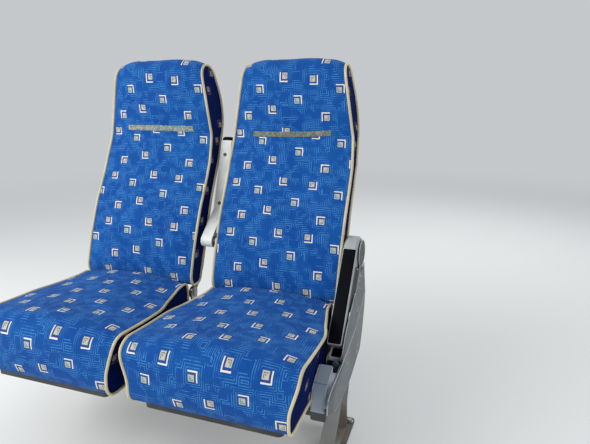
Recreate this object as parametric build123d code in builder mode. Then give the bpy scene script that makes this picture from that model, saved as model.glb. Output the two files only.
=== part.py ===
from build123d import *
import math
import os

os.makedirs("parts", exist_ok=True)

# Double reclining coach seat, in millimetres
# X runs towards the aisle, Y towards the rear of the seat and Z up
# The origin is on the floor, at the centre of the aisle leg's four bolts

# Layout across the pair, from the armrest between the backs outwards
seat_pitch = 480.0
centre_arm_w = 38.0
centre_clear = 18.5
hip_taper = 2.5
neck_taper = 6.5
head_taper = 36.0
shoulder_half = (seat_pitch - centre_arm_w) / 2 - centre_clear
hip_half = shoulder_half - hip_taper
neck_half = shoulder_half - neck_taper
head_half = shoulder_half - head_taper
arm_in = -18.0
arm_w = 41.5
arm_clear = 6.5
leg_to_seat = shoulder_half + arm_clear - arm_in
seats = {"window": -leg_to_seat - seat_pitch, "aisle": -leg_to_seat}
pair_x = -leg_to_seat - seat_pitch / 2
crease_y = 115.0
soft_gap = 0.3
rest_gap = 0.5
move_gap = 5.0

# Underframe, with heights from the floor and depths from the crease
tube_size = 40.0
tube_wall = 3.0
tube_r = 5.0
frame_z = 196.0
frame_top = frame_z + tube_size
front_tube_y = -235.0
rear_tube_y = 5.0
rail_w = 40.0
rail_end = 12.0
window_rail_w = 30.0
window_clear = 2.0
wall_plate_t = 5.0
wall_plate_w = 56.0
wall_plate_h = 90.0
wall_hole_r = 5.5
wall_bolt_rise = 24.0

# Aisle leg
leg_w = 40.0
leg_wall = 3.0
leg_top_front = -70.0
leg_top_rear = 25.0
leg_low_front = -215.0
leg_low_rear = -15.0
leg_waist_front = -128.0
leg_waist_rear = -22.0
leg_waist_z = 102.0
leg_waist_r = 60.0
leg_toe_h = 22.0
foot_l = 300.0
foot_w = 70.0
foot_t = 8.0
foot_hole_r = 5.5
foot_bolt_x = 44.0
foot_bolt_y = 260.0

# Cushions: narrow at the hinges, then a waist beside the folded armrest and a broad nose
pan_t = 3.0
pan_rim = 16.0
cushion_gap = 24.0
cushion_rear_taper = 14.0
console_clear = 1.5
cushion_nose_half = (seat_pitch - cushion_gap) / 2
cushion_half = leg_to_seat + arm_in - move_gap
cushion_rear_half = cushion_half - cushion_rear_taper
cushion_low_half = leg_to_seat + arm_in - console_clear
cushion_waist_y = -72.0
cushion_waist_l = 53.0
cushion_flare_y = -184.0
cushion_flare_l = 40.0
cushion_corner_r = 40.0
cushion_front_y = -432.0
cushion_rear_y = -6.0
cushion_wall_z = 318.0
cushion_full_z = 400.0
cushion_top_z = 430.0
cushion_dip_z = 408.0
crease_z = 421.0

# Backrests, as front depths at a few heights and the pad's depth there
back_foot_z = 390.0
back_top_z = 1100.0
head_drop = 52.0
nape_drop = 125.0
neck_drop = 242.0
shoulder_drop = 81.0
lumbar_drop = 212.0
blade_rise = 96.0
head_z = back_top_z - head_drop
nape_z = back_top_z - nape_drop
neck_z = back_top_z - neck_drop
shoulder_z = neck_z - shoulder_drop
lumbar_z = neck_z - lumbar_drop
blade_z = lumbar_z + blade_rise
lumbar_y = 83.0
blade_y = 136.0
neck_y = 183.0
head_y = 187.0
crown_y = 45.0
foot_depth = 54.0
lumbar_depth = 66.0
blade_depth = 61.0
neck_depth = 77.0
nape_depth = 106.0
head_depth = 92.0
head_corner_r = 28.0

# Rear covers
cover_t = 6.0
cover_wall = 3.0
cover_low_z = 400.0
cover_inset = 7.0
frame_depth = 22.0
roll_h = 124.0
roll_drop = 32.0
roll_high_z = back_top_z - roll_drop
roll_low_z = roll_high_z - roll_h
roll_depth = 20.0
pocket_rise = 4.0
pocket_drop = 8.0
pocket_low_z = lumbar_z + pocket_rise
pocket_high_z = neck_z - pocket_drop
pocket_inset = 32.5
pocket_half = shoulder_half - pocket_inset
pocket_open = 24.0
pocket_wall = 3.0

# Recline hinges
recline_y = 30.0
recline_z = 360.0
recline_pin_r = 8.0
pin_gap = 0.05
hinge_inset = 12.0
back_arm_out = hip_half - hinge_inset
back_arm_t = 5.0
back_arm_w = 16.0
back_arm_r = 19.0
hinge_plate_t = 5.0
washer_gap = 1.0
back_tube_r = 9.0
pan_clear = 4.0
pan_half = back_arm_out - pan_clear

# Head strip
strip_inset = 38.5
strip_l = 2 * (head_half - strip_inset)
strip_h = 20.0
strip_t = 1.5
strip_rise = 16.0
strip_z = neck_z + strip_rise

# Centre armrest, raised between the backs
centre_pivot_y = 58.0
centre_pivot_z = 534.0
centre_arm_depth = 40.0
centre_channel = 12.0
centre_knee_l = 121.3
centre_reach_l = 252.3
centre_lean = 18.7
centre_knee_lean = 50.3
centre_pin_r = 8.0
centre_boss_r = 15.0
centre_pad_from = 42.0
centre_pad_tip = 15.0
centre_plate_w = 56.0
centre_plate_h = 68.0
centre_plate_t = 4.0

# Aisle armrest, folded down beside the cushion: a round hub and a bar level with the hub's top
hub_y = 81.0
hub_z = 535.0
hub_r = 50.0
hub_round = 6.0
arm_droop = 53.0
arm_depth = 38.0
arm_l = 284.0
arm_round = 3.0
arm_rim = 2.5
arm_pad_depth = 11.0
arm_pad_from = 8.0
arm_tip = 13.0
arm_pad_to = arm_l - arm_tip
arm_pin_r = 8.0
arm_out = arm_in + arm_w

# Aisle side panel: an outer wall under a ridge, and a shoulder from the ridge up to the armrest
panel_in = arm_out + move_gap
panel_out = panel_in + 9.5
panel_wall = 3.0
hub_clear = 6.0
cap_r = 39.0
cap_t = 3.0
side_plate_t = 4.0
plate_head_r = 36.0
plate_neck = 44.0
plate_neck_l = 170.0
plate_front = -55.0
plate_front_h = 54.0
panel_ridge = [(110, 404), (65, 383), (31, 369), (-20, 341), (-131, 319), (-183, 297)]
panel_shoulder = [(122, 512), (56, 492), (28, 450), (-12, 433), (-116, 360), (-158, 302)]
panel_nose_out = [(-240, 282), (-262, 268), (-258, 226)]
panel_nose_in = [(-258, 286), (-290, 264), (-284, 224)]
panel_low = [(-226, 212), (-89, 207), (-44, 214), (11, 231), (53, 241), (80, 289)]
panel_rear_out = (106, 363)
panel_rear_in = (118, 380)

# Console between the panel and the cushion: nose, socket and tray
nose_w = 36.0
nose_rear_y = -192.0
nose_top_z = 312.0
nose_bend = (-236.0, 296.0)
nose_round = (-256.0, 282.0)
nose_brow = (-268.0, 258.0)
nose_y = -275.0
nose_low_z = 224.0
nose_edge_r = 3.0
nose_groove_w = 1.5
shelf_line = [(-192, 293), (-226, 291), (-240, 277), (-254, 260), (-268, 246)]
tray_wall_z = 282.0
tray_rear_y = -57.0
socket_rear = (-62.0, 312.0)
socket_front = (-114.0, 288.0)
socket_in = 3.0
socket_hole_w = 28.0
socket_hole_l = 31.0
socket_hole_depth = 28.0
socket_rim = 4.0

# Footrests, hanging from the rear tube
rest_pivot_z = 178.0
rest_pivot_y = 5.0
rest_inset = 9.0
rest_half = back_arm_out - rest_inset
rest_l = 118.0
rest_bar_r = 10.0
rest_arm_t = 6.0
rest_arm_w = 20.0
rest_knob_r = 15.0
rest_knob_l = 14.0
rest_pin_r = 5.0
rest_pin_end = 4.0
lug_t = 5.0
lug_r = 10.0
lug_foot = 15.0


def side(x):
    """Upright plane along the seat: u to the rear from the crease, v up, facing the aisle."""
    return Plane(origin=(x, crease_y, 0), x_dir=(0, 1, 0), z_dir=(1, 0, 0))


def front(x):
    """Upright plane across the seat: u towards the aisle from x, v up, facing the front."""
    return Plane(origin=(x, crease_y, 0), x_dir=(1, 0, 0), z_dir=(0, -1, 0))


def plan(x, z):
    """Level plane at height z: u towards the aisle from x, v to the rear from the crease."""
    return Plane(origin=(x, crease_y, z), x_dir=(1, 0, 0), z_dir=(0, 0, 1))


def save(piece, name):
    """Label one finished piece and write it under its own name."""
    piece.part.label = name
    export_step(piece.part, f"parts/{name}.step")


def back_profile(shift):
    """Side outline of a backrest pad: the front, over the head and down the rear, moved by shift."""
    foot = (8 + shift, back_foot_z)
    crease = (shift, crease_z)
    lumbar = (lumbar_y + shift, lumbar_z)
    blade = (blade_y + shift, blade_z)
    neck = (neck_y + shift, neck_z)
    head = (head_y + shift, head_z)
    crown = (head_y + crown_y + shift, back_top_z)
    head_rear = (head_y + head_depth + shift, head_z)
    nape_rear = (head_y + nape_depth + shift, nape_z)
    neck_rear = (neck_y + neck_depth + shift, neck_z + 8)
    blade_rear = (blade_y + blade_depth + shift, blade_z)
    lumbar_rear = (lumbar_y + lumbar_depth + shift, lumbar_z)
    foot_rear = (foot_depth + shift, back_foot_z)
    belly = (lumbar_y / 2 - 6 + shift, (crease_z + lumbar_z) / 2)
    with BuildSketch() as outline:
        with BuildLine():
            Line(foot, crease)
            ThreePointArc(crease, belly, lumbar)
            ThreePointArc(lumbar, blade, neck)
            Line(neck, head)
            ThreePointArc(head, crown, head_rear)
            ThreePointArc(head_rear, nape_rear, neck_rear)
            ThreePointArc(neck_rear, blade_rear, lumbar_rear)
            Line(lumbar_rear, foot_rear)
            Line(foot_rear, foot)
        make_face()
    return outline.sketch


def back_outline(inset):
    """Front outline of a backrest, wide at the shoulders and narrow at the rounded head."""
    half = [
        (hip_half - inset, back_foot_z - 60),
        (shoulder_half - inset, shoulder_z),
        (neck_half - inset, neck_z + 8),
        (head_half - inset, head_z),
        (head_half - 8 - inset, back_top_z + 3 - inset),
    ]
    other = [(-u, v) for u, v in reversed(half)]
    with BuildSketch() as outline:
        with BuildLine():
            Polyline(*half, *other, close=True)
        make_face()
        fillet(outline.vertices().group_by(Axis.Y)[-1], head_corner_r)
    return outline.sketch


def pad_half_at(z):
    """Half width of a backrest between the hips and the shoulders."""
    low = back_foot_z - 60
    return hip_half + (shoulder_half - hip_half) * (z - low) / (shoulder_z - low)


# Front and rear cross tubes, square steel from the window rail to the aisle rail
tube_x0 = seats["window"] - cushion_nose_half - window_clear + window_rail_w
tube_x1 = -rail_w / 2
for tube_name, tube_y in (("front_tube", front_tube_y), ("rear_tube", rear_tube_y)):
    with BuildPart() as tube:
        with BuildSketch(side(tube_x0)):
            with Locations((tube_y, frame_z + tube_size / 2)):
                RectangleRounded(tube_size, tube_size, tube_r)
                inner_size = tube_size - 2 * tube_wall
                RectangleRounded(inner_size, inner_size, tube_r - tube_wall, mode=Mode.SUBTRACT)
        extrude(amount=tube_x1 - tube_x0)
    save(tube, tube_name)

# Rails that close the frame at the aisle and at the window, with capped ends
rail_y0 = front_tube_y - tube_size / 2 - rail_end
rail_y1 = rear_tube_y + tube_size / 2 + rail_end
rail_table = (
    ("aisle_rail", 0.0, rail_w),
    ("window_rail", tube_x0 - window_rail_w / 2, window_rail_w),
)
for rail_name, rail_x, rail_width in rail_table:
    rail_face = Plane(origin=(rail_x, crease_y + rail_y0, 0), x_dir=(1, 0, 0), z_dir=(0, -1, 0))
    with BuildPart() as rail:
        with BuildSketch(rail_face):
            with Locations((0, frame_z + tube_size / 2)):
                RectangleRounded(rail_width, tube_size, tube_r)
        extrude(amount=rail_y0 - rail_y1)
        with BuildSketch(rail_face.offset(-tube_wall)):
            with Locations((0, frame_z + tube_size / 2)):
                RectangleRounded(rail_width - 2 * tube_wall, tube_size - 2 * tube_wall, tube_r - tube_wall)
        extrude(amount=rail_y0 - rail_y1 + 2 * tube_wall, mode=Mode.SUBTRACT)
    save(rail, rail_name)

# Wall brackets: upright plates on the window rail, each with one bolt hole above the rail
wall_face_x = tube_x0 - window_rail_w - wall_plate_t
wall_bolt_z = frame_top + wall_bolt_rise
for bracket_name, bracket_y in (("wall_bracket_front", front_tube_y), ("wall_bracket_rear", rear_tube_y)):
    with BuildPart() as bracket:
        with BuildSketch(side(wall_face_x)):
            with Locations((bracket_y, frame_z + wall_plate_h / 2)):
                RectangleRounded(wall_plate_w, wall_plate_h, 8)
            with Locations((bracket_y, wall_bolt_z)):
                Circle(wall_hole_r, mode=Mode.SUBTRACT)
        extrude(amount=wall_plate_t)
    save(bracket, bracket_name)

# Aisle leg: a leaning pressed-steel pedestal, a rim round a thin web, between the foot and the rail
with BuildPart() as leg:
    with BuildSketch(side(-leg_w / 2)) as leg_side:
        with BuildLine():
            Polyline(
                (leg_low_front, foot_t),
                (leg_low_front, foot_t + leg_toe_h),
                (leg_waist_front, leg_waist_z),
                (leg_top_front, frame_z),
                (leg_top_rear, frame_z),
                (leg_waist_rear, leg_waist_z),
                (leg_low_rear, foot_t + leg_toe_h),
                (leg_low_rear, foot_t),
                close=True,
            )
        make_face()
        corners = leg_side.vertices().filter_by_position(Axis.Y, leg_waist_z - 1, leg_waist_z + 1)
        fillet(corners, leg_waist_r)
    extrude(amount=leg_w)
    with BuildSketch(side(leg_wall - leg_w / 2)):
        offset(leg_side.sketch_local, amount=-leg_wall)
    extrude(amount=leg_w, mode=Mode.SUBTRACT)
save(leg, "aisle_leg")

# Leg foot: the floor plate with its four bolt holes
with BuildPart() as foot:
    with BuildSketch(Plane.XY):
        RectangleRounded(foot_w, foot_l, 12)
        with GridLocations(foot_bolt_x, foot_bolt_y, 2, 2):
            Circle(foot_hole_r, mode=Mode.SUBTRACT)
    extrude(amount=foot_t)
save(foot, "leg_foot")

# Cushion pans and cushions
pan_front_y = cushion_front_y + 26
for seat, x in seats.items():
    with BuildPart() as pan:
        with BuildSketch(plan(x, frame_top)) as pan_plan:
            with Locations((0, (pan_front_y + cushion_rear_y) / 2)):
                RectangleRounded(2 * pan_half, cushion_rear_y - pan_front_y, 14)
        extrude(amount=pan_rim)
        with BuildSketch(plan(x, frame_top + pan_t)):
            offset(pan_plan.sketch_local, amount=-pan_t)
        extrude(amount=pan_rim, mode=Mode.SUBTRACT)
    save(pan, f"cushion_pan_{seat}")

    cushion_low = frame_top + pan_rim + soft_gap
    with BuildPart() as cushion:
        with BuildSketch(side(x)):
            with BuildLine():
                Line((cushion_rear_y, cushion_low), (pan_front_y, cushion_low))
                ThreePointArc(
                    (pan_front_y, cushion_low),
                    (cushion_front_y + 6, cushion_low + 12),
                    (cushion_front_y, cushion_low + 34),
                )
                Line((cushion_front_y, cushion_low + 34), (cushion_front_y + 4, cushion_top_z - 44))
                ThreePointArc(
                    (cushion_front_y + 4, cushion_top_z - 44),
                    (cushion_front_y + 20, cushion_top_z - 10),
                    (cushion_front_y + 58, cushion_top_z),
                )
                ThreePointArc(
                    (cushion_front_y + 58, cushion_top_z),
                    ((cushion_front_y + cushion_rear_y) / 2 + 60, cushion_dip_z),
                    (cushion_rear_y - 12, crease_z - 6),
                )
                Line((cushion_rear_y - 12, crease_z - 6), (cushion_rear_y, crease_z - 18))
                Line((cushion_rear_y, crease_z - 18), (cushion_rear_y, cushion_low))
            make_face()
        extrude(amount=cushion_nose_half + 10, both=True)
        with BuildSketch(plan(x, cushion_low)) as cushion_plan:
            with BuildLine():
                edge = [
                    (cushion_rear_half, cushion_rear_y + 10),
                    (cushion_rear_half, cushion_waist_y),
                    (cushion_half, cushion_waist_y - cushion_waist_l),
                    (cushion_half, cushion_flare_y),
                    (cushion_nose_half, cushion_flare_y - cushion_flare_l),
                    (cushion_nose_half, cushion_front_y - 10),
                ]
                Polyline(*edge, *[(-u, v) for u, v in reversed(edge)], close=True)
            make_face()
            fillet(cushion_plan.vertices().group_by(Axis.Y)[1:-1], cushion_corner_r)
        extrude(amount=cushion_top_z, mode=Mode.INTERSECT)
        with BuildSketch(front(x)):
            with BuildLine():
                wall = [
                    (cushion_low_half, cushion_low - 1),
                    (cushion_low_half, cushion_wall_z),
                    (cushion_nose_half, cushion_full_z),
                    (cushion_nose_half, cushion_top_z + 10),
                ]
                Polyline(*wall, *[(-u, v) for u, v in reversed(wall)], close=True)
            make_face()
        extrude(amount=500, both=True, mode=Mode.INTERSECT)
    save(cushion, f"cushion_{seat}")

# Hinge plates: two welded ears for each seat, standing on the rear tube, with the recline pins
ear_in = back_arm_out + washer_gap
for seat, x in seats.items():
    with BuildPart() as ears:
        for hand in (-1, 1):
            with BuildSketch(side(x + hand * ear_in)):
                with BuildLine():
                    Polyline(
                        (cushion_rear_y + 2, frame_top),
                        (rear_tube_y + tube_size / 2, frame_top),
                        (recline_y + 18, recline_z - 8),
                        (recline_y - 18, recline_z - 8),
                        close=True,
                    )
                make_face()
                with Locations((recline_y, recline_z)):
                    Circle(back_arm_r)
            extrude(amount=hand * hinge_plate_t)
            with BuildSketch(side(x + hand * ear_in)):
                with Locations((recline_y, recline_z)):
                    Circle(recline_pin_r)
            extrude(amount=-hand * (washer_gap + back_arm_t + 3))
    save(ears, f"hinge_plates_{seat}")

# Backrests
for seat, x in seats.items():
    pad_sketch = back_profile(0)
    pad_clear = back_profile(soft_gap)

    # The upholstered pad, curved in side view and tapered to the head
    with BuildPart() as pad:
        with BuildSketch(side(x)):
            add(pad_sketch)
        extrude(amount=shoulder_half + 10, both=True)
        with BuildSketch(front(x)):
            add(back_outline(0))
        extrude(amount=500, both=True, mode=Mode.INTERSECT)
    save(pad, f"back_pad_{seat}")

    # Frame arms, from the recline pins up between the pad and the rear cover
    with BuildPart() as arms:
        for hand in (-1, 1):
            with BuildSketch(side(x + hand * back_arm_out)) as arm_side:
                with BuildLine():
                    Polyline(
                        (recline_y - 8, recline_z),
                        (recline_y + 8, recline_z - 14),
                        (foot_depth + 26, back_foot_z - 4),
                        (foot_depth + 24, back_foot_z + 20),
                        (lumbar_y + lumbar_depth, lumbar_z - 40),
                        (lumbar_y + lumbar_depth - back_arm_w, lumbar_z - 46),
                        (foot_depth + 5, back_foot_z + 8),
                        (foot_depth - 2, back_foot_z - 4),
                        close=True,
                    )
                make_face()
                add(pad_clear, mode=Mode.SUBTRACT)
                with Locations((recline_y, recline_z)):
                    Circle(back_arm_r)
                    Circle(recline_pin_r + pin_gap, mode=Mode.SUBTRACT)
            extrude(amount=-hand * back_arm_t)
    save(arms, f"back_arms_{seat}")

    # Cross tube between the frame arms, under the pad
    with BuildPart() as cross:
        with BuildSketch(side(x - back_arm_out + back_arm_t)):
            with Locations((foot_depth + 14, back_foot_z - 2)):
                Circle(back_tube_r)
        extrude(amount=2 * (back_arm_out - back_arm_t))
    save(cross, f"back_tube_{seat}")

    # Rear cover, a dished panel behind the frame with its sides turned in to the pad
    cover_low = (foot_depth + frame_depth + 6, cover_low_z)
    cover_mid = (lumbar_y + lumbar_depth + frame_depth, lumbar_z)
    cover_neck = (neck_y + neck_depth + 2, neck_z + 8)
    cover_top = (head_y + nape_depth + 2, roll_low_z)
    cover_line = [cover_low, cover_mid, cover_neck, cover_top]
    pad_side_line = [(v - frame_depth - cover_t, w) for v, w in reversed(cover_line)]
    with BuildPart() as dish:
        with BuildSketch(side(x)):
            with BuildLine():
                Polyline(*cover_line, *pad_side_line, close=True)
            make_face()
        extrude(amount=shoulder_half, both=True)
        with BuildSketch(front(x)):
            add(back_outline(cover_inset + cover_wall))
        extrude(amount=-500, mode=Mode.INTERSECT)
    with BuildPart() as cover:
        with BuildSketch(side(x)):
            with BuildLine():
                outer = [(v + cover_t, w) for v, w in cover_line]
                Polyline(*outer, *pad_side_line, close=True)
            make_face()
            add(pad_clear, mode=Mode.SUBTRACT)
        extrude(amount=shoulder_half, both=True)
        with BuildSketch(front(x)):
            add(back_outline(cover_inset))
        extrude(amount=-500, mode=Mode.INTERSECT)
        add(dish.part, mode=Mode.SUBTRACT)
    save(cover, f"back_cover_{seat}")

    # Head roll, the padded top of the rear cover
    with BuildPart() as roll:
        with BuildSketch(side(x)):
            with BuildLine():
                low = (cover_top[0] + 2, roll_low_z + 1)
                high = (head_y + head_depth - 4, roll_high_z)
                belly = (head_y + nape_depth + roll_depth, (roll_low_z + roll_high_z) / 2)
                Line(high, (head_y + head_depth / 2, roll_high_z))
                Line((head_y + head_depth / 2, roll_high_z), (cover_top[0] - 30, roll_low_z + 1))
                Line((cover_top[0] - 30, roll_low_z + 1), low)
                ThreePointArc(low, belly, high)
            make_face()
            add(pad_clear, mode=Mode.SUBTRACT)
        extrude(amount=shoulder_half, both=True)
        with BuildSketch(front(x)):
            add(back_outline(cover_inset))
        extrude(amount=-500, mode=Mode.INTERSECT)
    save(roll, f"head_roll_{seat}")

    # Pocket on the rear cover, open at the top
    slope = (cover_neck[0] - cover_mid[0]) / (cover_neck[1] - cover_mid[1])
    pocket_low_y = cover_mid[0] + cover_t + slope * (pocket_low_z - lumbar_z)
    pocket_high_y = cover_mid[0] + cover_t + slope * (pocket_high_z - lumbar_z)
    with BuildPart() as pocket:
        with BuildSketch(side(x)):
            with BuildLine():
                Polyline(
                    (pocket_low_y + soft_gap, pocket_low_z),
                    (pocket_high_y + soft_gap, pocket_high_z),
                    (pocket_high_y + pocket_open, pocket_high_z),
                    (pocket_low_y + pocket_wall + 3, pocket_low_z),
                    close=True,
                )
            make_face()
        extrude(amount=pocket_half, both=True)
        with BuildSketch(side(x)):
            with BuildLine():
                Polyline(
                    (pocket_low_y - 5, pocket_low_z + pocket_wall),
                    (pocket_high_y - 5, pocket_high_z + 1),
                    (pocket_high_y + pocket_open - pocket_wall, pocket_high_z + 1),
                    (pocket_low_y + 3, pocket_low_z + pocket_wall),
                    close=True,
                )
            make_face()
        extrude(amount=pocket_half - pocket_wall, both=True, mode=Mode.SUBTRACT)
    save(pocket, f"pocket_{seat}")

    # Head strip for a washable cover, on the front of the head
    with BuildPart() as strip:
        with BuildSketch(side(x)):
            strip_y = neck_y - soft_gap
            with Locations((strip_y - strip_t / 2, strip_z)):
                Rectangle(strip_t, strip_h)
        extrude(amount=strip_l / 2, both=True)
    save(strip, f"head_strip_{seat}")

# Centre armrest, raised between the backs and pivoted on the aisle seat's backrest
reach_dir = (math.sin(math.radians(centre_lean)), math.cos(math.radians(centre_lean)))
knee_dir = (math.sin(math.radians(centre_knee_lean)), math.cos(math.radians(centre_knee_lean)))


def centre_line(depth):
    """Knee, bend and tip of a line inside the centre armrest, depth behind its underside."""
    half = centre_arm_depth / 2 - depth
    start = (centre_pivot_y - knee_dir[1] * half, centre_pivot_z + knee_dir[0] * half)
    turn = math.radians(centre_knee_lean - centre_lean)
    shift = -half * math.tan(turn / 2)
    bend = (
        start[0] + knee_dir[0] * (centre_knee_l + shift),
        start[1] + knee_dir[1] * (centre_knee_l + shift),
    )
    tip = (
        bend[0] + reach_dir[0] * (centre_reach_l + shift),
        bend[1] + reach_dir[1] * (centre_reach_l + shift),
    )
    return start, bend, tip


def along(point, direction, length):
    """Point moved by a length along a direction."""
    return (point[0] + direction[0] * length, point[1] + direction[1] * length)


arm_x0 = pair_x - centre_arm_w / 2
under = centre_line(0)
seat_line = centre_line(centre_channel)
top_line = centre_line(centre_arm_depth)
with BuildPart() as centre_shell:
    with BuildSketch(side(arm_x0)) as centre_side:
        with BuildLine():
            Polyline(
                under[0],
                under[1],
                along(under[2], reach_dir, -centre_pad_tip),
                along(seat_line[2], reach_dir, -centre_pad_tip),
                seat_line[1],
                along(seat_line[0], knee_dir, centre_pad_from),
                along(top_line[0], knee_dir, centre_pad_from),
                top_line[0],
                close=True,
            )
        make_face()
        fillet(centre_side.vertices().sort_by_distance(under[1])[0], 20)
        with Locations((centre_pivot_y, centre_pivot_z)):
            Circle(centre_arm_depth / 2)
            Circle(centre_pin_r + pin_gap, mode=Mode.SUBTRACT)
    extrude(amount=centre_arm_w)
save(centre_shell, "centre_arm_shell")

pad_line = centre_line(centre_channel + soft_gap)
with BuildPart() as centre_pad:
    with BuildSketch(side(arm_x0 + 1)) as centre_pad_side:
        with BuildLine():
            Polyline(
                along(pad_line[0], knee_dir, centre_pad_from + soft_gap),
                pad_line[1],
                along(pad_line[2], reach_dir, soft_gap - centre_pad_tip),
                along(under[2], reach_dir, soft_gap - centre_pad_tip),
                under[2],
                top_line[2],
                top_line[1],
                along(top_line[0], knee_dir, centre_pad_from + soft_gap),
                close=True,
            )
        make_face()
        fillet(centre_pad_side.vertices().sort_by_distance(under[2])[0], 6)
        fillet(centre_pad_side.vertices().sort_by_distance(top_line[2])[0], 12)
        fillet(centre_pad_side.vertices().sort_by_distance(top_line[1])[0], 45)
    extrude(amount=centre_arm_w - 2)
save(centre_pad, "centre_arm_pad")

# Centre armrest bracket: a plate on the side of the aisle backrest with a spacer and the pivot pin
bracket_face = seats["aisle"] - pad_half_at(centre_pivot_z + 34) - soft_gap
with BuildPart() as centre_bracket:
    with BuildSketch(side(bracket_face)) as bracket_side:
        with Locations((centre_pivot_y + 8, centre_pivot_z)):
            RectangleRounded(centre_plate_w, centre_plate_h, 12)
    extrude(amount=-centre_plate_t)
    with BuildSketch(side(bracket_face)):
        with Locations((centre_pivot_y, centre_pivot_z)):
            Circle(centre_boss_r)
    extrude(amount=-(bracket_face - pair_x - centre_arm_w / 2 - washer_gap))
    with BuildSketch(side(bracket_face)):
        with Locations((centre_pivot_y, centre_pivot_z)):
            Circle(centre_pin_r)
    extrude(amount=-(bracket_face - pair_x + centre_arm_w / 2 - 3))
save(centre_bracket, "centre_arm_bracket")

# Aisle armrest, drawn along its own length from the pivot, then folded down by its droop
droop = math.radians(arm_droop)
arm_axis = (0, -math.cos(droop), -math.sin(droop))
hub_centre = (0, crease_y + hub_y, hub_z)


def arm_plane(x):
    """Plane of the folded aisle armrest: u along the arm from its pivot, v out of its pad."""
    return Plane(origin=(x, hub_centre[1], hub_centre[2]), x_dir=arm_axis, z_dir=(-1, 0, 0))


def arm_section(u):
    """Plane across the armrest at u from its pivot: x to the aisle, y out of its pad."""
    start = [centre + axis * u for centre, axis in zip(hub_centre, arm_axis)]
    return Plane(origin=start, x_dir=(1, 0, 0), z_dir=arm_axis)


arm_mid = arm_in + arm_w / 2
arm_low = hub_r - arm_depth
pad_floor = hub_r - arm_pad_depth
with BuildPart() as aisle_shell:
    with BuildSketch(arm_plane(arm_out)):
        Circle(hub_r)
    extrude(amount=arm_w)
    chamfer(aisle_shell.edges().filter_by(GeomType.CIRCLE), hub_round)
    with BuildSketch(arm_section(hub_round)):
        with Locations((arm_mid, (hub_r + arm_low) / 2)):
            RectangleRounded(arm_w, arm_depth, arm_round)
    extrude(amount=arm_l - hub_round)
    with BuildSketch(arm_plane(arm_out)):
        Circle(arm_pin_r + pin_gap)
    extrude(amount=arm_w, mode=Mode.SUBTRACT)
    with BuildSketch(arm_plane(arm_out - arm_rim)):
        with Locations(((arm_pad_from + arm_pad_to) / 2, hub_r)):
            Rectangle(arm_pad_to - arm_pad_from, 2 * arm_pad_depth)
    extrude(amount=arm_w - 2 * arm_rim, mode=Mode.SUBTRACT)
    tip = aisle_shell.faces().filter_by(Plane(origin=hub_centre, z_dir=arm_axis)).sort_by(Axis.Z)[0]
    chamfer(tip.edges(), arm_round)
save(aisle_shell, "aisle_arm_shell")

with BuildPart() as aisle_pad:
    with BuildSketch(arm_plane(arm_out - arm_rim - soft_gap)) as aisle_pad_side:
        with Locations(((arm_pad_from + arm_pad_to) / 2, pad_floor + (soft_gap + arm_pad_depth) / 2)):
            Rectangle(arm_pad_to - arm_pad_from - 2 * soft_gap, arm_pad_depth - soft_gap)
    extrude(amount=arm_w - 2 * arm_rim - 2 * soft_gap)
save(aisle_pad, "aisle_arm_pad")

# Aisle side plate: the steel post on the rail whose round head carries the armrest's pivot pin
plate_x = panel_in - side_plate_t
with BuildPart() as side_plate:
    with BuildSketch(side(plate_x)):
        with BuildLine():
            Polyline(
                (plate_front, frame_top),
                (rail_y1 - 2, frame_top),
                (hub_y, frame_top + 1.25 * plate_front_h),
                (hub_y + plate_neck / 2, hub_z - plate_neck_l),
                (hub_y + plate_neck / 2, hub_z),
                (hub_y - plate_neck / 2, hub_z),
                (hub_y - 0.75 * plate_neck, hub_z - 0.65 * plate_neck_l),
                (plate_front, frame_top + plate_front_h),
                close=True,
            )
        make_face()
        with Locations((hub_y, hub_z)):
            Circle(plate_head_r)
    extrude(amount=side_plate_t)
    with BuildSketch(side(plate_x)):
        with Locations((hub_y, hub_z)):
            Circle(arm_pin_r)
    extrude(amount=-(plate_x - arm_in - 3))
    with BuildSketch(plan(0, frame_top)):
        with Locations(((plate_x - rail_w / 2) / 2, (plate_front + rail_y1 - 2) / 2)):
            Rectangle(plate_x + rail_w / 2, rail_y1 - 2 - plate_front)
    extrude(amount=side_plate_t)
save(side_plate, "aisle_side_plate")

# Aisle side panel: a hollow moulding that widens from its shoulder down to the ridge and clears the hub
outer_line = panel_ridge + panel_nose_out + panel_low + [panel_rear_out]
inner_line = panel_shoulder + panel_nose_in + panel_low + [panel_rear_in]


def drawn_in(points, inset):
    """Corners of the same outline with each side moved inwards, where the moved sides meet."""
    corners = []
    for before, here, after in zip(points[-1:] + points[:-1], points, points[1:] + points[:1]):
        arrive = math.atan2(here[1] - before[1], here[0] - before[0])
        leave = math.atan2(after[1] - here[1], after[0] - here[0])
        reach = inset / (1 + math.cos(arrive - leave))
        across = -reach * (math.sin(arrive) + math.sin(leave))
        up = reach * (math.cos(arrive) + math.cos(leave))
        corners.append((here[0] + across, here[1] + up))
    return corners


def panel_outline(points):
    """Side outline of the panel at one depth."""
    with BuildSketch() as outline:
        with BuildLine():
            Polyline(*points, close=True)
        make_face()
    return outline.sketch


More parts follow.
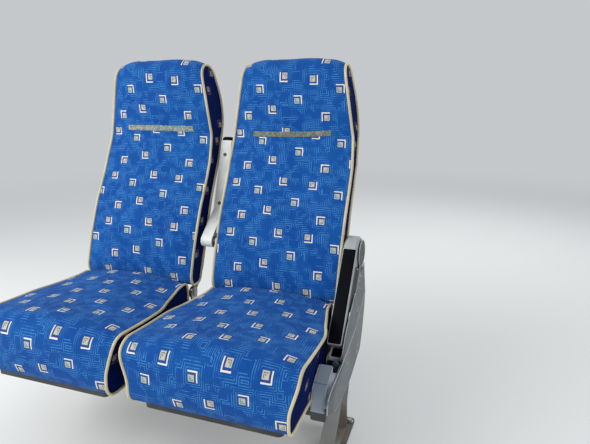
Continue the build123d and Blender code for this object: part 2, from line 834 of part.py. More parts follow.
with BuildPart() as panel_hollow:
    with BuildSketch(side(panel_in)):
        add(panel_outline(drawn_in(inner_line, panel_wall)))
    with BuildSketch(side(panel_out - panel_wall)):
        add(panel_outline(drawn_in(outer_line, panel_wall)))
    loft(ruled=True)
    with BuildSketch(side(panel_in)):
        with Locations((hub_y, hub_z)):
            Circle(hub_r + hub_clear + panel_wall)
    extrude(amount=panel_out - panel_in, mode=Mode.SUBTRACT)
with BuildPart() as panel:
    with BuildSketch(side(panel_in)):
        add(panel_outline(inner_line))
    with BuildSketch(side(panel_out)):
        add(panel_outline(outer_line))
    loft(ruled=True)
    with BuildSketch(side(panel_in)):
        with Locations((hub_y, hub_z)):
            Circle(hub_r + hub_clear)
    extrude(amount=panel_out - panel_in, mode=Mode.SUBTRACT)
    add(panel_hollow.part, mode=Mode.SUBTRACT)
save(panel, "aisle_panel")

# Round cap on the side plate's head, over the armrest's pivot
with BuildPart() as cap:
    with BuildSketch(side(panel_in)):
        with Locations((hub_y, hub_z)):
            Circle(cap_r)
    extrude(amount=cap_t)
save(cap, "panel_cap")

# Console nose: a rounded block in front of the folded armrest, with a lower shelf towards the panel
nose_out = arm_in + nose_w
nose_seat_y = rail_y0 - rest_gap
with BuildPart() as nose_part:
    with BuildSketch(side(arm_in)):
        with BuildLine():
            Line((nose_rear_y, nose_top_z), nose_bend)
            ThreePointArc(nose_bend, nose_round, nose_brow)
            Line(nose_brow, (nose_y, nose_low_z + 8))
            Line((nose_y, nose_low_z + 8), (nose_y + 2, nose_low_z))
            Line((nose_y + 2, nose_low_z), (nose_seat_y, nose_low_z))
            Line((nose_seat_y, nose_low_z), (nose_seat_y, frame_top))
            Line((nose_seat_y, frame_top), (nose_rear_y, frame_top))
            Line((nose_rear_y, frame_top), (nose_rear_y, nose_top_z))
        make_face()
    extrude(amount=nose_w)
    brow = nose_part.edges().filter_by(lambda edge: abs(edge.tangent_at(0.5).X) < 0.1)
    chamfer([edge for edge in brow if edge.center().Z > nose_brow[1] and edge.length > 20], nose_edge_r)
    with BuildSketch(side(arm_in + panel_wall)):
        with BuildLine():
            Polyline(
                (nose_rear_y + 1, frame_top + panel_wall),
                (nose_brow[0] + panel_wall + 1, frame_top + panel_wall),
                (nose_brow[0] + panel_wall + 1, nose_brow[1] - 1),
                (nose_round[0] + panel_wall + 1, nose_round[1] - panel_wall - 2),
                (nose_bend[0], nose_bend[1] - panel_wall - 2),
                (nose_rear_y + 1, nose_top_z - panel_wall - 2),
                close=True,
            )
        make_face()
    extrude(amount=nose_w - 2 * panel_wall, mode=Mode.SUBTRACT)
    with BuildSketch(side(arm_in)):
        with Locations((nose_bend[0] - 12, nose_bend[1] - 6)):
            Rectangle(nose_groove_w, 6, rotation=-30)
    extrude(amount=nose_w, mode=Mode.SUBTRACT)
    with BuildSketch(side(nose_out)):
        with BuildLine():
            Polyline(*shelf_line, (shelf_line[-1][0], frame_top), (nose_rear_y, frame_top), close=True)
        make_face()
    extrude(amount=panel_in - rest_gap - nose_out)
save(nose_part, "console_nose")

# Console tray: the dark floor and inner wall of the recess under the folded armrest
tray_front_y = nose_rear_y + rest_gap
tray_w = panel_in - rest_gap - arm_in
tray_mid_y = (tray_front_y + tray_rear_y) / 2
with BuildPart() as tray:
    with BuildSketch(plan(arm_in + tray_w / 2, frame_top)):
        with Locations((0, tray_mid_y)):
            Rectangle(tray_w, tray_rear_y - tray_front_y)
    extrude(amount=panel_wall)
    with BuildSketch(side(arm_in)):
        with Locations((tray_mid_y, (frame_top + tray_wall_z) / 2)):
            Rectangle(tray_rear_y - tray_front_y, tray_wall_z - frame_top)
    extrude(amount=panel_wall)
save(tray, "console_tray")

# Console socket: a block on the tray whose sloped face has a square recess, under the armrest's tip
socket_x0 = arm_in + socket_in
socket_run = (socket_front[0] - socket_rear[0], socket_front[1] - socket_rear[1])
socket_l = math.hypot(*socket_run)
socket_dir = (socket_run[0] / socket_l, socket_run[1] / socket_l)
hole_at = along(socket_front, socket_dir, -6 - socket_hole_l / 2)
with BuildPart() as socket:
    with BuildSketch(side(socket_x0)):
        with BuildLine():
            Polyline(
                socket_rear,
                socket_front,
                (socket_front[0], frame_top + panel_wall),
                (socket_rear[0], frame_top + panel_wall),
                close=True,
            )
        make_face()
    extrude(amount=panel_in - rest_gap - socket_x0)
    with BuildSketch(side(socket_x0 + socket_rim)):
        with Locations(Location(hole_at, math.degrees(math.atan2(socket_dir[1], socket_dir[0])))):
            Rectangle(socket_hole_l, 2 * socket_hole_depth)
    extrude(amount=socket_hole_w, mode=Mode.SUBTRACT)
save(socket, "console_socket")

# Footrests: a sleeved bar between two arms that hang from lugs under the rear tube
for seat, x in seats.items():
    with BuildPart() as lugs:
        for hand in (-1, 1):
            with BuildSketch(side(x + hand * (rest_half - rest_arm_t - washer_gap))):
                with BuildLine():
                    Polyline(
                        (rest_pivot_y - lug_foot, frame_z),
                        (rest_pivot_y - lug_r, rest_pivot_z),
                        (rest_pivot_y + lug_r, rest_pivot_z),
                        (rest_pivot_y + lug_foot, frame_z),
                        close=True,
                    )
                make_face()
                with Locations((rest_pivot_y, rest_pivot_z)):
                    Circle(lug_r)
            extrude(amount=-hand * lug_t)
            with BuildSketch(side(x + hand * (rest_half - rest_arm_t - washer_gap))):
                with Locations((rest_pivot_y, rest_pivot_z)):
                    Circle(rest_pin_r)
            extrude(amount=hand * (rest_arm_t + rest_pin_end))
    save(lugs, f"footrest_lugs_{seat}")

    with BuildPart() as rest_arms:
        for hand in (-1, 1):
            with BuildSketch(side(x + hand * rest_half)):
                with Locations((rest_pivot_y, rest_pivot_z - rest_l / 2)):
                    SlotCenterToCenter(rest_l, rest_arm_w, rotation=90)
                with Locations((rest_pivot_y, rest_pivot_z)):
                    Circle(rest_pin_r + pin_gap, mode=Mode.SUBTRACT)
            extrude(amount=-hand * rest_arm_t)
            with BuildSketch(side(x + hand * rest_half)):
                with Locations((rest_pivot_y, rest_pivot_z - rest_l)):
                    Circle(rest_knob_r)
            extrude(amount=hand * rest_knob_l)
    save(rest_arms, f"footrest_arms_{seat}")

    with BuildPart() as bar:
        with BuildSketch(side(x - rest_half + rest_arm_t)):
            with Locations((rest_pivot_y, rest_pivot_z - rest_l)):
                Circle(rest_bar_r)
        extrude(amount=2 * (rest_half - rest_arm_t))
    save(bar, f"footrest_bar_{seat}")
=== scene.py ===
import math

import bpy
import numpy as np
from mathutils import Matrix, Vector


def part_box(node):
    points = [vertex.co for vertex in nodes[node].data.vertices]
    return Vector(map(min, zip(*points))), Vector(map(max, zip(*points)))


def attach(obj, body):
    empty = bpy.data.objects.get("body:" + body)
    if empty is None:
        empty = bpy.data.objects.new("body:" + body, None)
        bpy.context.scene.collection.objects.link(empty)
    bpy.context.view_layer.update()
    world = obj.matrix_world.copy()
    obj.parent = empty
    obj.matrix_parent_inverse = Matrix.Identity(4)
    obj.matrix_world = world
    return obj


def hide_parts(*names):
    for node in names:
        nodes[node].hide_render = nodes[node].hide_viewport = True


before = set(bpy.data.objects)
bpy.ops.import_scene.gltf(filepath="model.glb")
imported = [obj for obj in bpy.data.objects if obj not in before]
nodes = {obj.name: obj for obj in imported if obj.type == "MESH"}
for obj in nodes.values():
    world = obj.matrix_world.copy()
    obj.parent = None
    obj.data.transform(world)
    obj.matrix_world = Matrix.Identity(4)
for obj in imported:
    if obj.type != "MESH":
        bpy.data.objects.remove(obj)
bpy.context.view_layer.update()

# Camera
# It stands on the aisle side, in front of the seat and level with its head, and looks a little down
# on the two backrests from the front.
scene = bpy.context.scene
scene.view_settings.view_transform = "Standard"
lens = bpy.data.cameras.new("camera")
lens.lens = 30.508
lens.sensor_width = 36.0
camera = bpy.data.objects.new("camera", lens)
camera.location = (0.302, -1.205, 0.990)
camera.rotation_euler = (math.radians(75.75), 0.0, math.radians(19.0))
scene.collection.objects.link(camera)
scene.camera = camera


# Underframe: tubes, rails and wall brackets
# Square steel tubes welded into a frame and painted dark grey, with plastic plugs in the rail ends.
# The wall brackets are plates welded on the window rail, each with one bolt into the wall.
def fed(tree, made, inputs):
    """Gives a node's sockets their values, linked where the value is a socket."""
    for key, value in inputs.items():
        if isinstance(value, bpy.types.NodeSocket):
            tree.links.new(value, made.inputs[key])
        else:
            made.inputs[key].default_value = value
    return made


def node(tree, kind, inputs, out=0, **settings):
    """Adds one shader node, its settings first and then its sockets, and gives back one of its outputs."""
    made = tree.nodes.new(kind)
    for key, value in settings.items():
        setattr(made, key, value)
    return fed(tree, made, inputs).outputs[out]


def tree_of(values):
    """The node tree of the first value that is a socket."""
    return next(value.id_data for value in values if isinstance(value, bpy.types.NodeSocket))


def maths(operation, *values):
    """One arithmetic step on numbers."""
    return node(tree_of(values), "ShaderNodeMath", dict(enumerate(values)), operation=operation)


def vectors(operation, *values, out=0):
    """One arithmetic step on points."""
    return node(tree_of(values), "ShaderNodeVectorMath", dict(enumerate(values)), out, operation=operation)


def scaled(point, size):
    """A point times a number."""
    return node(point.id_data, "ShaderNodeVectorMath", {0: point, "Scale": size}, operation="SCALE")


def parts_of(point):
    """The three numbers of a point."""
    return node(point.id_data, "ShaderNodeSeparateXYZ", {0: point}).node.outputs


def noise(place, scale, detail=2.0, out=0):
    """Soft noise, with scale spots to the metre."""
    return node(place.id_data, "ShaderNodeTexNoise", {"Vector": place, "Scale": scale, "Detail": detail}, out)


def mixed(first, second, mask, share=1.0, **settings):
    """Colour that goes from the first to the second as a mask, times a share, goes from 0 to 1."""
    mask = mask if share == 1.0 else maths("MULTIPLY", mask, share)
    inputs = {0: mask, 6: first, 7: second}
    return node(mask.id_data, "ShaderNodeMix", inputs, 2, data_type="RGBA", **settings)


def ramped(value, low, high):
    """0 below low, 1 above high and smooth between them."""
    inputs = {0: value, 1: low, 2: high, 3: 0.0, 4: 1.0}
    return node(value.id_data, "ShaderNodeMapRange", inputs, interpolation_type="SMOOTHSTEP")


def bumped(height, strength, distance):
    """Normal of a surface that a height lifts by up to the distance."""
    inputs = {"Height": height, "Strength": strength, "Distance": distance}
    return node(height.id_data, "ShaderNodeBump", inputs)


def own_place(tree):
    """Place of a point on its piece, in metres."""
    return node(tree, "ShaderNodeTexCoord", {}, "Object")


def tint(red, green, blue):
    """Linear colour of a screen colour: each channel over 255, to the power 2.2."""
    return tuple((channel / 255) ** 2.2 for channel in (red, green, blue)) + (1.0,)


def effect_group(name, inputs, outputs):
    """Empty node group: inputs with their start values, None for a point, and outputs that are numbers."""
    tree = bpy.data.node_groups.new(name, "ShaderNodeTree")
    for socket, start in inputs.items():
        kind = "NodeSocketVector" if start is None else "NodeSocketFloat"
        made = tree.interface.new_socket(socket, in_out="INPUT", socket_type=kind)
        if start is not None:
            made.default_value = start
    for socket in outputs:
        tree.interface.new_socket(socket, in_out="OUTPUT", socket_type="NodeSocketFloat")
    return tree, tree.nodes.new("NodeGroupInput").outputs, tree.nodes.new("NodeGroupOutput")


def placed_group(tree, group, inputs):
    """The outputs of one use of an effect group in a material, with its own values."""
    made = tree.nodes.new("ShaderNodeGroup")
    made.node_tree = group
    return fed(tree, made, inputs).outputs


surface_age, given, result = effect_group(
    "surface_age", {"Place": None, "Patch Scale": 9.0, "Grain Scale": 900.0}, ("Patch", "Scuff", "Grain")
)
drawn_out = vectors("MULTIPLY", given[0], (1.0, 1.0, 0.16))
fed(surface_age, result, {
    "Patch": ramped(noise(given[0], given[1], 6.0), 0.38, 0.68),
    "Scuff": ramped(noise(drawn_out, 160.0, 3.0), 0.62, 0.72),
    "Grain": noise(given[0], given[2]),
})


def new_finish(name):
    """Empty material, its node tree and its shader."""
    material = bpy.data.materials.new(name)
    material.use_nodes = True
    return material, material.node_tree, material.node_tree.nodes["Principled BSDF"]


def hard_finish(name, colour, worn, roughness, metallic=0.0, grain=900.0, lift=0.15, patches=9.0,
                worn_share=0.5, soil=0.0):
    """One hard finish: a colour that goes to a worn one in soft patches and thin scuffs, and a grain on it.

    Soil adds floor dirt, which fades out 160 mm above the floor.
    """
    material, tree, shader = new_finish(name)
    colour, worn = tint(*colour), tint(*worn)
    place = own_place(tree)
    age = placed_group(tree, surface_age, {"Place": place, "Patch Scale": patches, "Grain Scale": grain})
    aged = mixed(colour, worn, age["Patch"], worn_share)
    aged = mixed(aged, worn, age["Scuff"], 0.3 * worn_share)
    if soil:
        dusty = maths("SUBTRACT", 1.0, ramped(parts_of(place)[2], 0.0, 0.16))
        dusty = maths("MULTIPLY", dusty, maths("MULTIPLY_ADD", age["Patch"], 0.6, 0.4))
        aged = mixed(aged, tint(112, 102, 86), dusty, soil)
    fed(tree, shader, {
        "Base Color": aged,
        "Roughness": maths("MULTIPLY_ADD", age["Patch"], 0.16, roughness),
        "Metallic": metallic,
        "Normal": bumped(age["Grain"], lift, 0.0006),
    })
    return material


def dress(material, *names):
    """Gives a finish to CAD nodes."""
    for name in names:
        nodes[name].material_slots[0].material = material


def both(stem):
    """The names of a node on the window seat and on the aisle seat."""
    return [f"{stem}_window", f"{stem}_aisle"]


frame_paint = hard_finish("frame_paint", (44, 45, 48), (86, 84, 80), 0.42, grain=500.0, lift=0.2)
dress(frame_paint, "front_tube", "rear_tube", "aisle_rail", "window_rail")
dress(frame_paint, "wall_bracket_front", "wall_bracket_rear", "centre_arm_bracket", "aisle_side_plate")


def grid_quads(rows, columns, round_rows=False, round_columns=False):
    """Corner numbers of a grid's cells: a point, the next in its row and those two of the next row."""
    row_starts, column_starts = np.arange(rows - (not round_rows)), np.arange(columns - (not round_columns))
    i, j = np.meshgrid(row_starts, column_starts, indexing="ij")
    k, m = (i + 1) % rows, (j + 1) % columns
    return np.stack((i * columns + j, i * columns + m, k * columns + m, k * columns + j), -1).reshape(-1, 4)


def turned_outwards(points, faces):
    """Faces, reversed where the volume that they close, a sum of corner products, is negative."""
    volume = 0.0
    for corners, _ in faces:
        for step in range(1, corners.shape[1] - 1):
            a, b, c = points[corners[:, 0]], points[corners[:, step]], points[corners[:, step + 1]]
            volume += np.einsum("ij,ij->", a - points[0], np.cross(b - points[0], c - points[0]))
    if volume > 0:
        return faces
    return [(corners[:, ::-1], None if cloth is None else cloth[:, ::-1]) for corners, cloth in faces]


def make(name, shapes, material, body, crisp=35.0):
    """One mesh from closed shapes, each its points and its faces. Edges past crisp degrees stay sharp."""
    points, faces, cloth, start = [], [], [], 0
    for shape_points, shape_faces in shapes:
        for corners, laid in turned_outwards(shape_points, shape_faces):
            faces += (corners + start).tolist()
            flat = np.zeros((*corners.shape, 2)) if laid is None else laid
            cloth.append(flat.reshape(-1, 2))
        points.append(shape_points)
        start += len(shape_points)
    mesh = bpy.data.meshes.new(name)
    mesh.from_pydata(np.concatenate(points), [], faces)
    layer = mesh.uv_layers.new(name="cloth")
    layer.data.foreach_set("uv", np.concatenate(cloth).ravel())
    mesh.polygons.foreach_set("use_smooth", np.ones(len(faces), bool))
    mesh.set_sharp_from_angle(angle=math.radians(crisp))
    mesh.materials.append(material)
    piece = bpy.data.objects.new(name, mesh)
    scene.collection.objects.link(piece)
    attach(piece, body)
    return piece


def unit(vectors_in):
    """Each vector over its length."""
    return vectors_in / np.maximum(np.linalg.norm(vectors_in, axis=-1, keepdims=True), 1e-12)


def stacked(rings, joined=False):
    """Form from rings of points, each joined to the next: a loop, or a stack closed at its ends' middles."""
    rows, columns = rings.shape[:2]
    points = rings.reshape(-1, 3)
    faces = [(grid_quads(rows, columns, joined, True), None)]
    if not joined:
        around = np.arange(columns)
        after = (around + 1) % columns
        last = (rows - 1) * columns
        near = np.stack((np.full(columns, len(points)), after, around), -1)
        far = np.stack((np.full(columns, len(points) + 1), last + around, last + after), -1)
        points = np.concatenate((points, rings[:1].mean(1), rings[-1:].mean(1)))
        faces.append((np.concatenate((near, far)), None))
    return points, faces


def carried(path, section, lay, joined=False, sizes=None):
    """Section carried along a path: each ring stands square to the path, scaled by its sizes.

    Its first axis is lay, less the share of lay that runs along the path.
    """
    if joined:
        along = unit(np.roll(path, -1, 0) - np.roll(path, 1, 0))
    else:
        along = unit(np.gradient(path, axis=0))
    lay = np.broadcast_to(np.asarray(lay, float), path.shape)
    across = unit(lay - np.sum(lay * along, -1, keepdims=True) * along)
    up = np.cross(along, across)
    sizes = np.ones((len(path), 2)) if sizes is None else sizes
    first = section[None, :, 0, None] * sizes[:, None, :1] * across[:, None]
    second = section[None, :, 1, None] * sizes[:, None, 1:] * up[:, None]
    return stacked(path[:, None] + first + second, joined)


def ring_section(width, height, square=2.0, count=24):
    """Closed section: half sizes times the signed powers 2/square of cosine and sine; square 2 is round."""
    turn = np.linspace(0, 2 * np.pi, count, endpoint=False) + np.pi / count
    way = np.stack((np.cos(turn), np.sin(turn)), -1)
    return np.array([width / 2, height / 2]) * np.sign(way) * np.abs(way) ** (2 / square)


def round_bar(path, width, lay, joined=False, count=12, sizes=None):
    """Cord, bead or wire of a round section along a path."""
    return carried(path, ring_section(width, width, 2.0, count), lay, joined, sizes)


def run_along(path):
    """Length along a path from its start to each of its points."""
    return np.concatenate(([0.0], np.cumsum(np.linalg.norm(np.diff(path, axis=0), axis=1))))


def rounded_ends(path, width, height, first, last):
    """Sizes of a bar's rings where its ends are round: a quarter circle over the length of each end."""
    far = run_along(path)
    size = np.ones((len(path), 2))
    for end, to_end in ((first, far), (last, far[-1] - far)):
        short = np.clip(1 - to_end / end, 0, 1)
        size -= end * (1 - np.sqrt(1 - short**2))[:, None] / np.array([width / 2, height / 2])
    return np.maximum(size, 0.02)


def softened_bar(path, width, height, lay, end, square=5.0, count=36):
    """Bar of a boxy section with rounded ends."""
    sizes = rounded_ends(path, width, height, end, end)
    return carried(path, ring_section(width, height, square, count), lay, sizes=sizes)


def stations(start, finish, end, count=9):
    """Points from start to finish, close together over the last end at both ends."""
    start, finish = np.asarray(start, float), np.asarray(finish, float)
    length = np.linalg.norm(finish - start)
    near = end * (1 - np.cos(np.linspace(0, np.pi / 2, count)))
    at = np.concatenate((near, length - near[::-1]))
    return start + (finish - start) * (at / length)[:, None]


def turned(centre, axis, outline, sides=32):
    """Turned form: each outline point, a radius and a height, goes round the axis through the centre."""
    outline = np.asarray(outline, float)
    axis = unit(np.asarray(axis, float))
    path = np.asarray(centre, float) + axis * outline[:, 1:]
    lay = (0.0, 0.0, 1.0) if abs(axis[2]) < 0.9 else (0.0, 1.0, 0.0)
    across = unit(np.asarray(lay) - np.dot(lay, axis) * axis)
    up = np.cross(axis, across)
    turn = np.linspace(0, 2 * np.pi, sides, endpoint=False)[None, :, None]
    return stacked(path[:, None] + outline[:, None, :1] * (np.cos(turn) * across + np.sin(turn) * up))


def bolt(seat_point, axis):
    """Washer and hex head of an 8 mm bolt, standing on a face."""
    washer = turned(seat_point, axis, [(0.0105, 0.0), (0.0105, 0.0018), (0.0092, 0.0022)])
    head = [(0.0082, 0.0018), (0.0085, 0.0024), (0.0085, 0.0068), (0.0076, 0.0082)]
    return [washer, turned(seat_point, axis, head, 6)]


plug_black = hard_finish("plug_black", (24, 24, 26), (58, 57, 56), 0.5)
steel = hard_finish("steel", (150, 150, 150), (96, 90, 84), 0.32, metallic=0.9, grain=1500.0, lift=0.06)
rail_lo, rail_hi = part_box("aisle_rail")
window_lo, window_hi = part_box("window_rail")
rail_wall = 0.00325
plugs = []
for low, high, ends in ((rail_lo, rail_hi, (1.0,)), (window_lo, window_hi, (-1.0, 1.0))):
    mid_x, mid_z = (low.x + high.x) / 2, (low.z + high.z) / 2
    size = (high.x - low.x - 2 * rail_wall, high.z - low.z - 2 * rail_wall)
    for out in ends:
        y = high.y if out > 0 else low.y
        inside, face = (mid_x, y - out * 0.012, mid_z), (mid_x, y + out * 0.003, mid_z)
        plugs.append(softened_bar(stations(inside, face, 0.002, 4), *size, (1, 0, 0), 0.002, 7.0))
make("rail_plugs", plugs, plug_black, "underframe")

# The seat's crease, where the cushion meets the back, and the middles of the front and the rear tube
crease = 0.115
tube_places = (crease - 0.235, crease + 0.005)
tube_z = 0.216
weld_count = 72
seam = ring_section(0.0415, 0.0415, 9.0, weld_count)
weld = ring_section(0.0052, 0.0044, 2.0, 8)
lumps = 1 + 0.12 * np.sin(np.arange(weld_count) * 2.1)
beads = []
for tube_y in tube_places:
    for x in (rail_lo.x - 0.0012, window_hi.x + 0.0012):
        loop = np.column_stack((np.full(weld_count, x), tube_y + seam[:, 0], tube_z + seam[:, 1]))
        beads.append(carried(loop, weld, (1, 0, 0), True, np.column_stack((lumps, lumps))))
make("weld_beads", beads, frame_paint, "underframe")
wall_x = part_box("wall_bracket_front")[1].x
wall_bolts = []
for tube_y in tube_places:
    wall_bolts += bolt((wall_x, tube_y, 0.260), (1, 0, 0))
make("wall_bolts", wall_bolts, steel, "underframe")

# Aisle leg and its foot
# A pressed pedestal, painted light grey, that leans from the floor bolts to the aisle rail.
# Four hex bolts with washers hold its foot to the floor.
leg_paint = hard_finish(
    "leg_paint", (150, 152, 152), (104, 100, 92), 0.45, grain=600.0, patches=14.0, soil=0.75
)
foot_paint = hard_finish("foot_paint", (52, 52, 54), (104, 100, 94), 0.5, grain=600.0, patches=20.0, soil=0.6)
dress(leg_paint, "aisle_leg")
dress(foot_paint, "leg_foot")
foot_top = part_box("leg_foot")[1].z
bolts = []
for x in (-0.022, 0.022):
    for y in (-0.130, 0.130):
        bolts += bolt((x, y, foot_top), (0, 0, 1))
make("foot_bolts", bolts, steel, "underframe")

# Recline hinges and frame arms
# Zinc-plated steel ears on the rear tube, and the backrest's flat arms on their pins.
# A domed pin head closes each hinge on the outside.
dress(steel, *both("hinge_plates"), *both("footrest_lugs"))
dress(frame_paint, *both("back_arms"), *both("back_tube"))
seats = {"window": -0.707, "aisle": -0.227}
hinge_y, hinge_z = crease + 0.030, 0.360
pin_head = [(0.0125, 0.0), (0.0125, 0.0012), (0.0105, 0.0026), (0.0055, 0.0036)]
for seat, centre in seats.items():
    heads = [turned((centre + hand * 0.194, hinge_y, hinge_z), (hand, 0, 0), pin_head) for hand in (-1, 1)]
    make(f"hinge_heads_{seat}", heads, steel, "underframe")


# Cushions
# Foam blocks in a woven plush of royal blue, with nested squares and fine maze lines, sewn with a cream cord.
# The plush is cut as one long wrap and two side panels, darker as painted shade, and the cord runs in the
# seams between them.
def arc_through(a, b, c, count):
    """Points on the circle through three points, at even angles round the centre where bisectors meet."""
    a, b, c = complex(*a), complex(*b), complex(*c)
    w = (c - a) / (b - a)
    centre = -((a - b) * (w - abs(w) ** 2) / 2j / w.imag - a)
    turn = np.unwrap(np.angle(np.array([a, b, c]) - centre))
    on = centre + abs(a - centre) * np.exp(1j * np.linspace(turn[0], turn[2], count))
    return np.stack((on.real, on.imag), -1)


def evened(outline, count, rounding=0):
    """Closed outline at even steps of its length, each point the mean of those within rounding steps."""
    closed = np.concatenate((outline, outline[:1]))
    far = run_along(closed)
    at = (np.arange(count) + 0.5) * far[-1] / count
    even = np.column_stack([np.interp(at, far, closed[:, k]) for k in (0, 1)])
    return np.mean([np.roll(even, step, 0) for step in range(-rounding, rounding + 1)], axis=0)


def sewn_block(outline, half, centre, crown, power, columns, rings, cut):
    """Sewn cover: a wrap and two side panels.

    The wrap carries the side outline across: x is the centre plus u times the half width there, and the
    outline moves out along its normal by crown times 1 - |u|^power and by two slow waves of worn foam. A
    side panel shrinks its seam to the middle line, the mean of the points that face each other. The wrap's
    cloth is measured along x and the outline, and leans by a share of the distance from one level, as it was
    cut: cut is the shift, that share, the level and the shift along the outline. A panel's cloth is measured
    along y and z.
    """
    count = len(outline)
    u = np.linspace(-1, 1, columns)
    normal = unit(np.roll(outline, -1, 0) - np.roll(outline, 1, 0))[:, ::-1] * (1, -1)
    area = np.sum(outline[:, 0] * np.roll(outline[:, 1], -1) - outline[:, 1] * np.roll(outline[:, 0], -1))
    normal = normal * np.sign(area)
    step = np.linalg.norm(np.roll(outline, -1, 0) - outline, axis=1)
    run = np.concatenate(([0.0], np.cumsum(step)))
    waves = np.sin(7.0 * u + 33 * run[:-1, None]) + np.sin(4.1 * u - 52 * run[:-1, None] + 1.7)
    out = crown[:, None] * (1 - np.abs(u) ** power[:, None])
    out = out + 0.07 * np.minimum(crown, 0.011)[:, None] * (1 - u**2) * waves
    wrap = np.empty((count, columns, 3))
    wrap[..., 0] = centre + u * half[:, None]
    wrap[..., 1:] = outline[:, None] + out[..., None] * normal[:, None]
    quads = grid_quads(count, columns, round_rows=True)
    row, column = quads // columns, quads % columns
    row_run = np.where((row == 0) & (row[:, :1] == count - 1), run[-1], run[row])
    shift, lean, level, rise = cut
    laid = np.stack((u[column] * half[row] + shift - lean * (level - row_run), row_run + rise), -1)
    points, faces = [wrap.reshape(-1, 3)], [(quads, laid)]
    start = count * columns
    for edge in (0, columns - 1):
        seam = wrap[:, edge]
        middle = (seam + seam[::-1]) / 2
        share = np.linspace(1, 0, rings + 1)[:, None, None]
        panel = middle + (seam - middle) * share
        index = np.empty((rings + 1, count), int)
        index[0] = np.arange(count) * columns + edge
        index[1:-1] = start + np.arange((rings - 1) * count).reshape(rings - 1, count)
        mate = np.minimum(np.arange(count), count - 1 - np.arange(count))
        index[-1] = start + (rings - 1) * count + mate
        points += [panel[1:-1].reshape(-1, 3), panel[-1, : count // 2]]
        start += (rings - 1) * count + count // 2
        cells = grid_quads(rings + 1, count, round_columns=True)
        corners = index.ravel()[cells]
        flat = panel[..., 1:].reshape(-1, 2)[cells]
        flat[..., 0] += 0.31 * (1 + edge)
        closed, three = corners[:, 2] == corners[:, 3], slice(0, 3)
        if edge == 0:
            corners, flat, three = corners[:, ::-1], flat[:, ::-1], slice(1, 4)
        faces += [(corners[~closed], flat[~closed]), (corners[closed][:, three], flat[closed][:, three])]
    return np.concatenate(points), faces


def points_of(mesh):
    """A mesh's points as an array."""
    places = np.empty(len(mesh.vertices) * 3)
    mesh.vertices.foreach_get("co", places)
    return places.reshape(-1, 3)


def sewn_piece(name, cover, count, columns, body):
    """Sewn cover as a mesh with its side panels in a darker copy of the plush, as painted shade; its points,
    their rows and its seams.
    """
    piece = make(name, [cover], moquette, body, 60.0)
    # The side panels take the darker plush: painted shade on the same cloth.
    piece.data.materials.append(moquette_painted_shade)
    on_panel = np.arange(len(piece.data.polygons)) >= count * (columns - 1)
    piece.data.polygons.foreach_set("material_index", on_panel.astype("i"))
    row, column = np.divmod(np.arange(len(piece.data.vertices)), columns)
    return piece, points_of(piece.data), row, (row < count) & np.isin(column, (0, columns - 1))


def fill_out(piece, held, reach, side_reach):
    """Moves that cloth pressure from inside gives the points, while the held ones stay.

    Each is capped at reach times the hyperbolic tangent of its length over reach, and at side_reach sideways.
    """
    piece.vertex_groups.new(name="sewn").add(np.flatnonzero(held).tolist(), 1.0, "REPLACE")
    cloth = piece.modifiers.new("fill", "CLOTH")
    cloth.settings.quality = 4
    cloth.settings.tension_stiffness = 8
    cloth.settings.compression_stiffness = 8
    cloth.settings.shear_stiffness = 4
    cloth.settings.bending_stiffness = 0.6
    cloth.settings.vertex_group_mass = "sewn"
    cloth.settings.use_pressure = True
    cloth.settings.uniform_pressure_force = 4.0
    cloth.settings.effector_weights.gravity = 0.0
    cloth.collision_settings.use_collision = False
    cloth.point_cache.frame_start = 1
    cloth.point_cache.frame_end = 20
    for number in range(1, 21):
        scene.frame_set(number)
    filled_mesh = piece.evaluated_get(bpy.context.evaluated_depsgraph_get()).data
    moves = points_of(filled_mesh) - points_of(piece.data)
    piece.modifiers.remove(cloth)
    piece.vertex_groups.clear()
    scene.frame_set(1)
    far = np.linalg.norm(moves, axis=1)
    moves *= (reach * np.tanh(far / reach) / np.maximum(far, 1e-9))[:, None]
    return moves * (side_reach / np.maximum(np.abs(moves[:, 0]), side_reach))[:, None]


def filled(piece, held, reach, side_reach, moves):
    """Fills a cover with the moves that the other seat's cover made, or with its own if it is the first."""
    if moves is None:
        moves = fill_out(piece, held, reach, side_reach)
    if moves is not None:
        piece.data.vertices.foreach_set("co", (points_of(piece.data) + moves).ravel())
    piece.data.update()
    return moves


def seam_cords(wrap, width):
    """Cords in both seams of a wrap, a little proud of its sides."""
    seams = (wrap[:, 0] - (0.0012, 0.0, 0.0), wrap[:, -1] + (0.0012, 0.0, 0.0))
    return [round_bar(seam, width, (1, 0, 0), True) for seam in seams]


weave, given, result = effect_group("weave", {"Place": None, "Threads": 700.0}, ("Height", "Tone"))
warp_thread, weft_thread, _ = parts_of(vectors("SINE", scaled(given[0], given[1])))
crossing = maths("MULTIPLY", warp_thread, weft_thread)
fed(weave, result, {
    "Height": maths("MULTIPLY_ADD", crossing, 0.35, noise(given[0], 1400.0, 3.0)),
    "Tone": ramped(noise(given[0], 7.0, 4.0), 0.3, 0.75),
})

# The pattern's repeat in metres, and each square: its place in the repeat, its turn and how cream it is
repeat = (0.257, 0.1627)
half_repeat = (repeat[0] / 2, repeat[1] / 2, 1.0)
bracket_places = [
    ((0.000, 0.000), (-1, -1), 0.15),
    ((0.488, 0.800), (-1, -1), 0.15),
    ((0.154, 0.617), (1, 1), 0.85),
    ((0.820, 0.495), (1, -1), 1.0),
    ((0.318, 0.200), (1, 1), 0.7),
    ((0.690, 0.150), (-1, 1), 0.9),
]
plush_pattern, given, result = effect_group(
    "plush_pattern", {"Cloth": None}, ("White", "Shade", "Fill", "Warm", "Maze", "Ink")
)
fuzz = vectors("SUBTRACT", noise(given[0], 1100.0, 1.0, "Color"), (0.5, 0.5, 0.5))
cloth_place = vectors("MULTIPLY_ADD", fuzz, (0.0014, 0.0014, 0.0), given[0])
square_half, square_area = 0.0130, 0.0155
local, warm, near, to_square = (0.0, 0.0, 0.0), 0.0, 0.0, 1.0
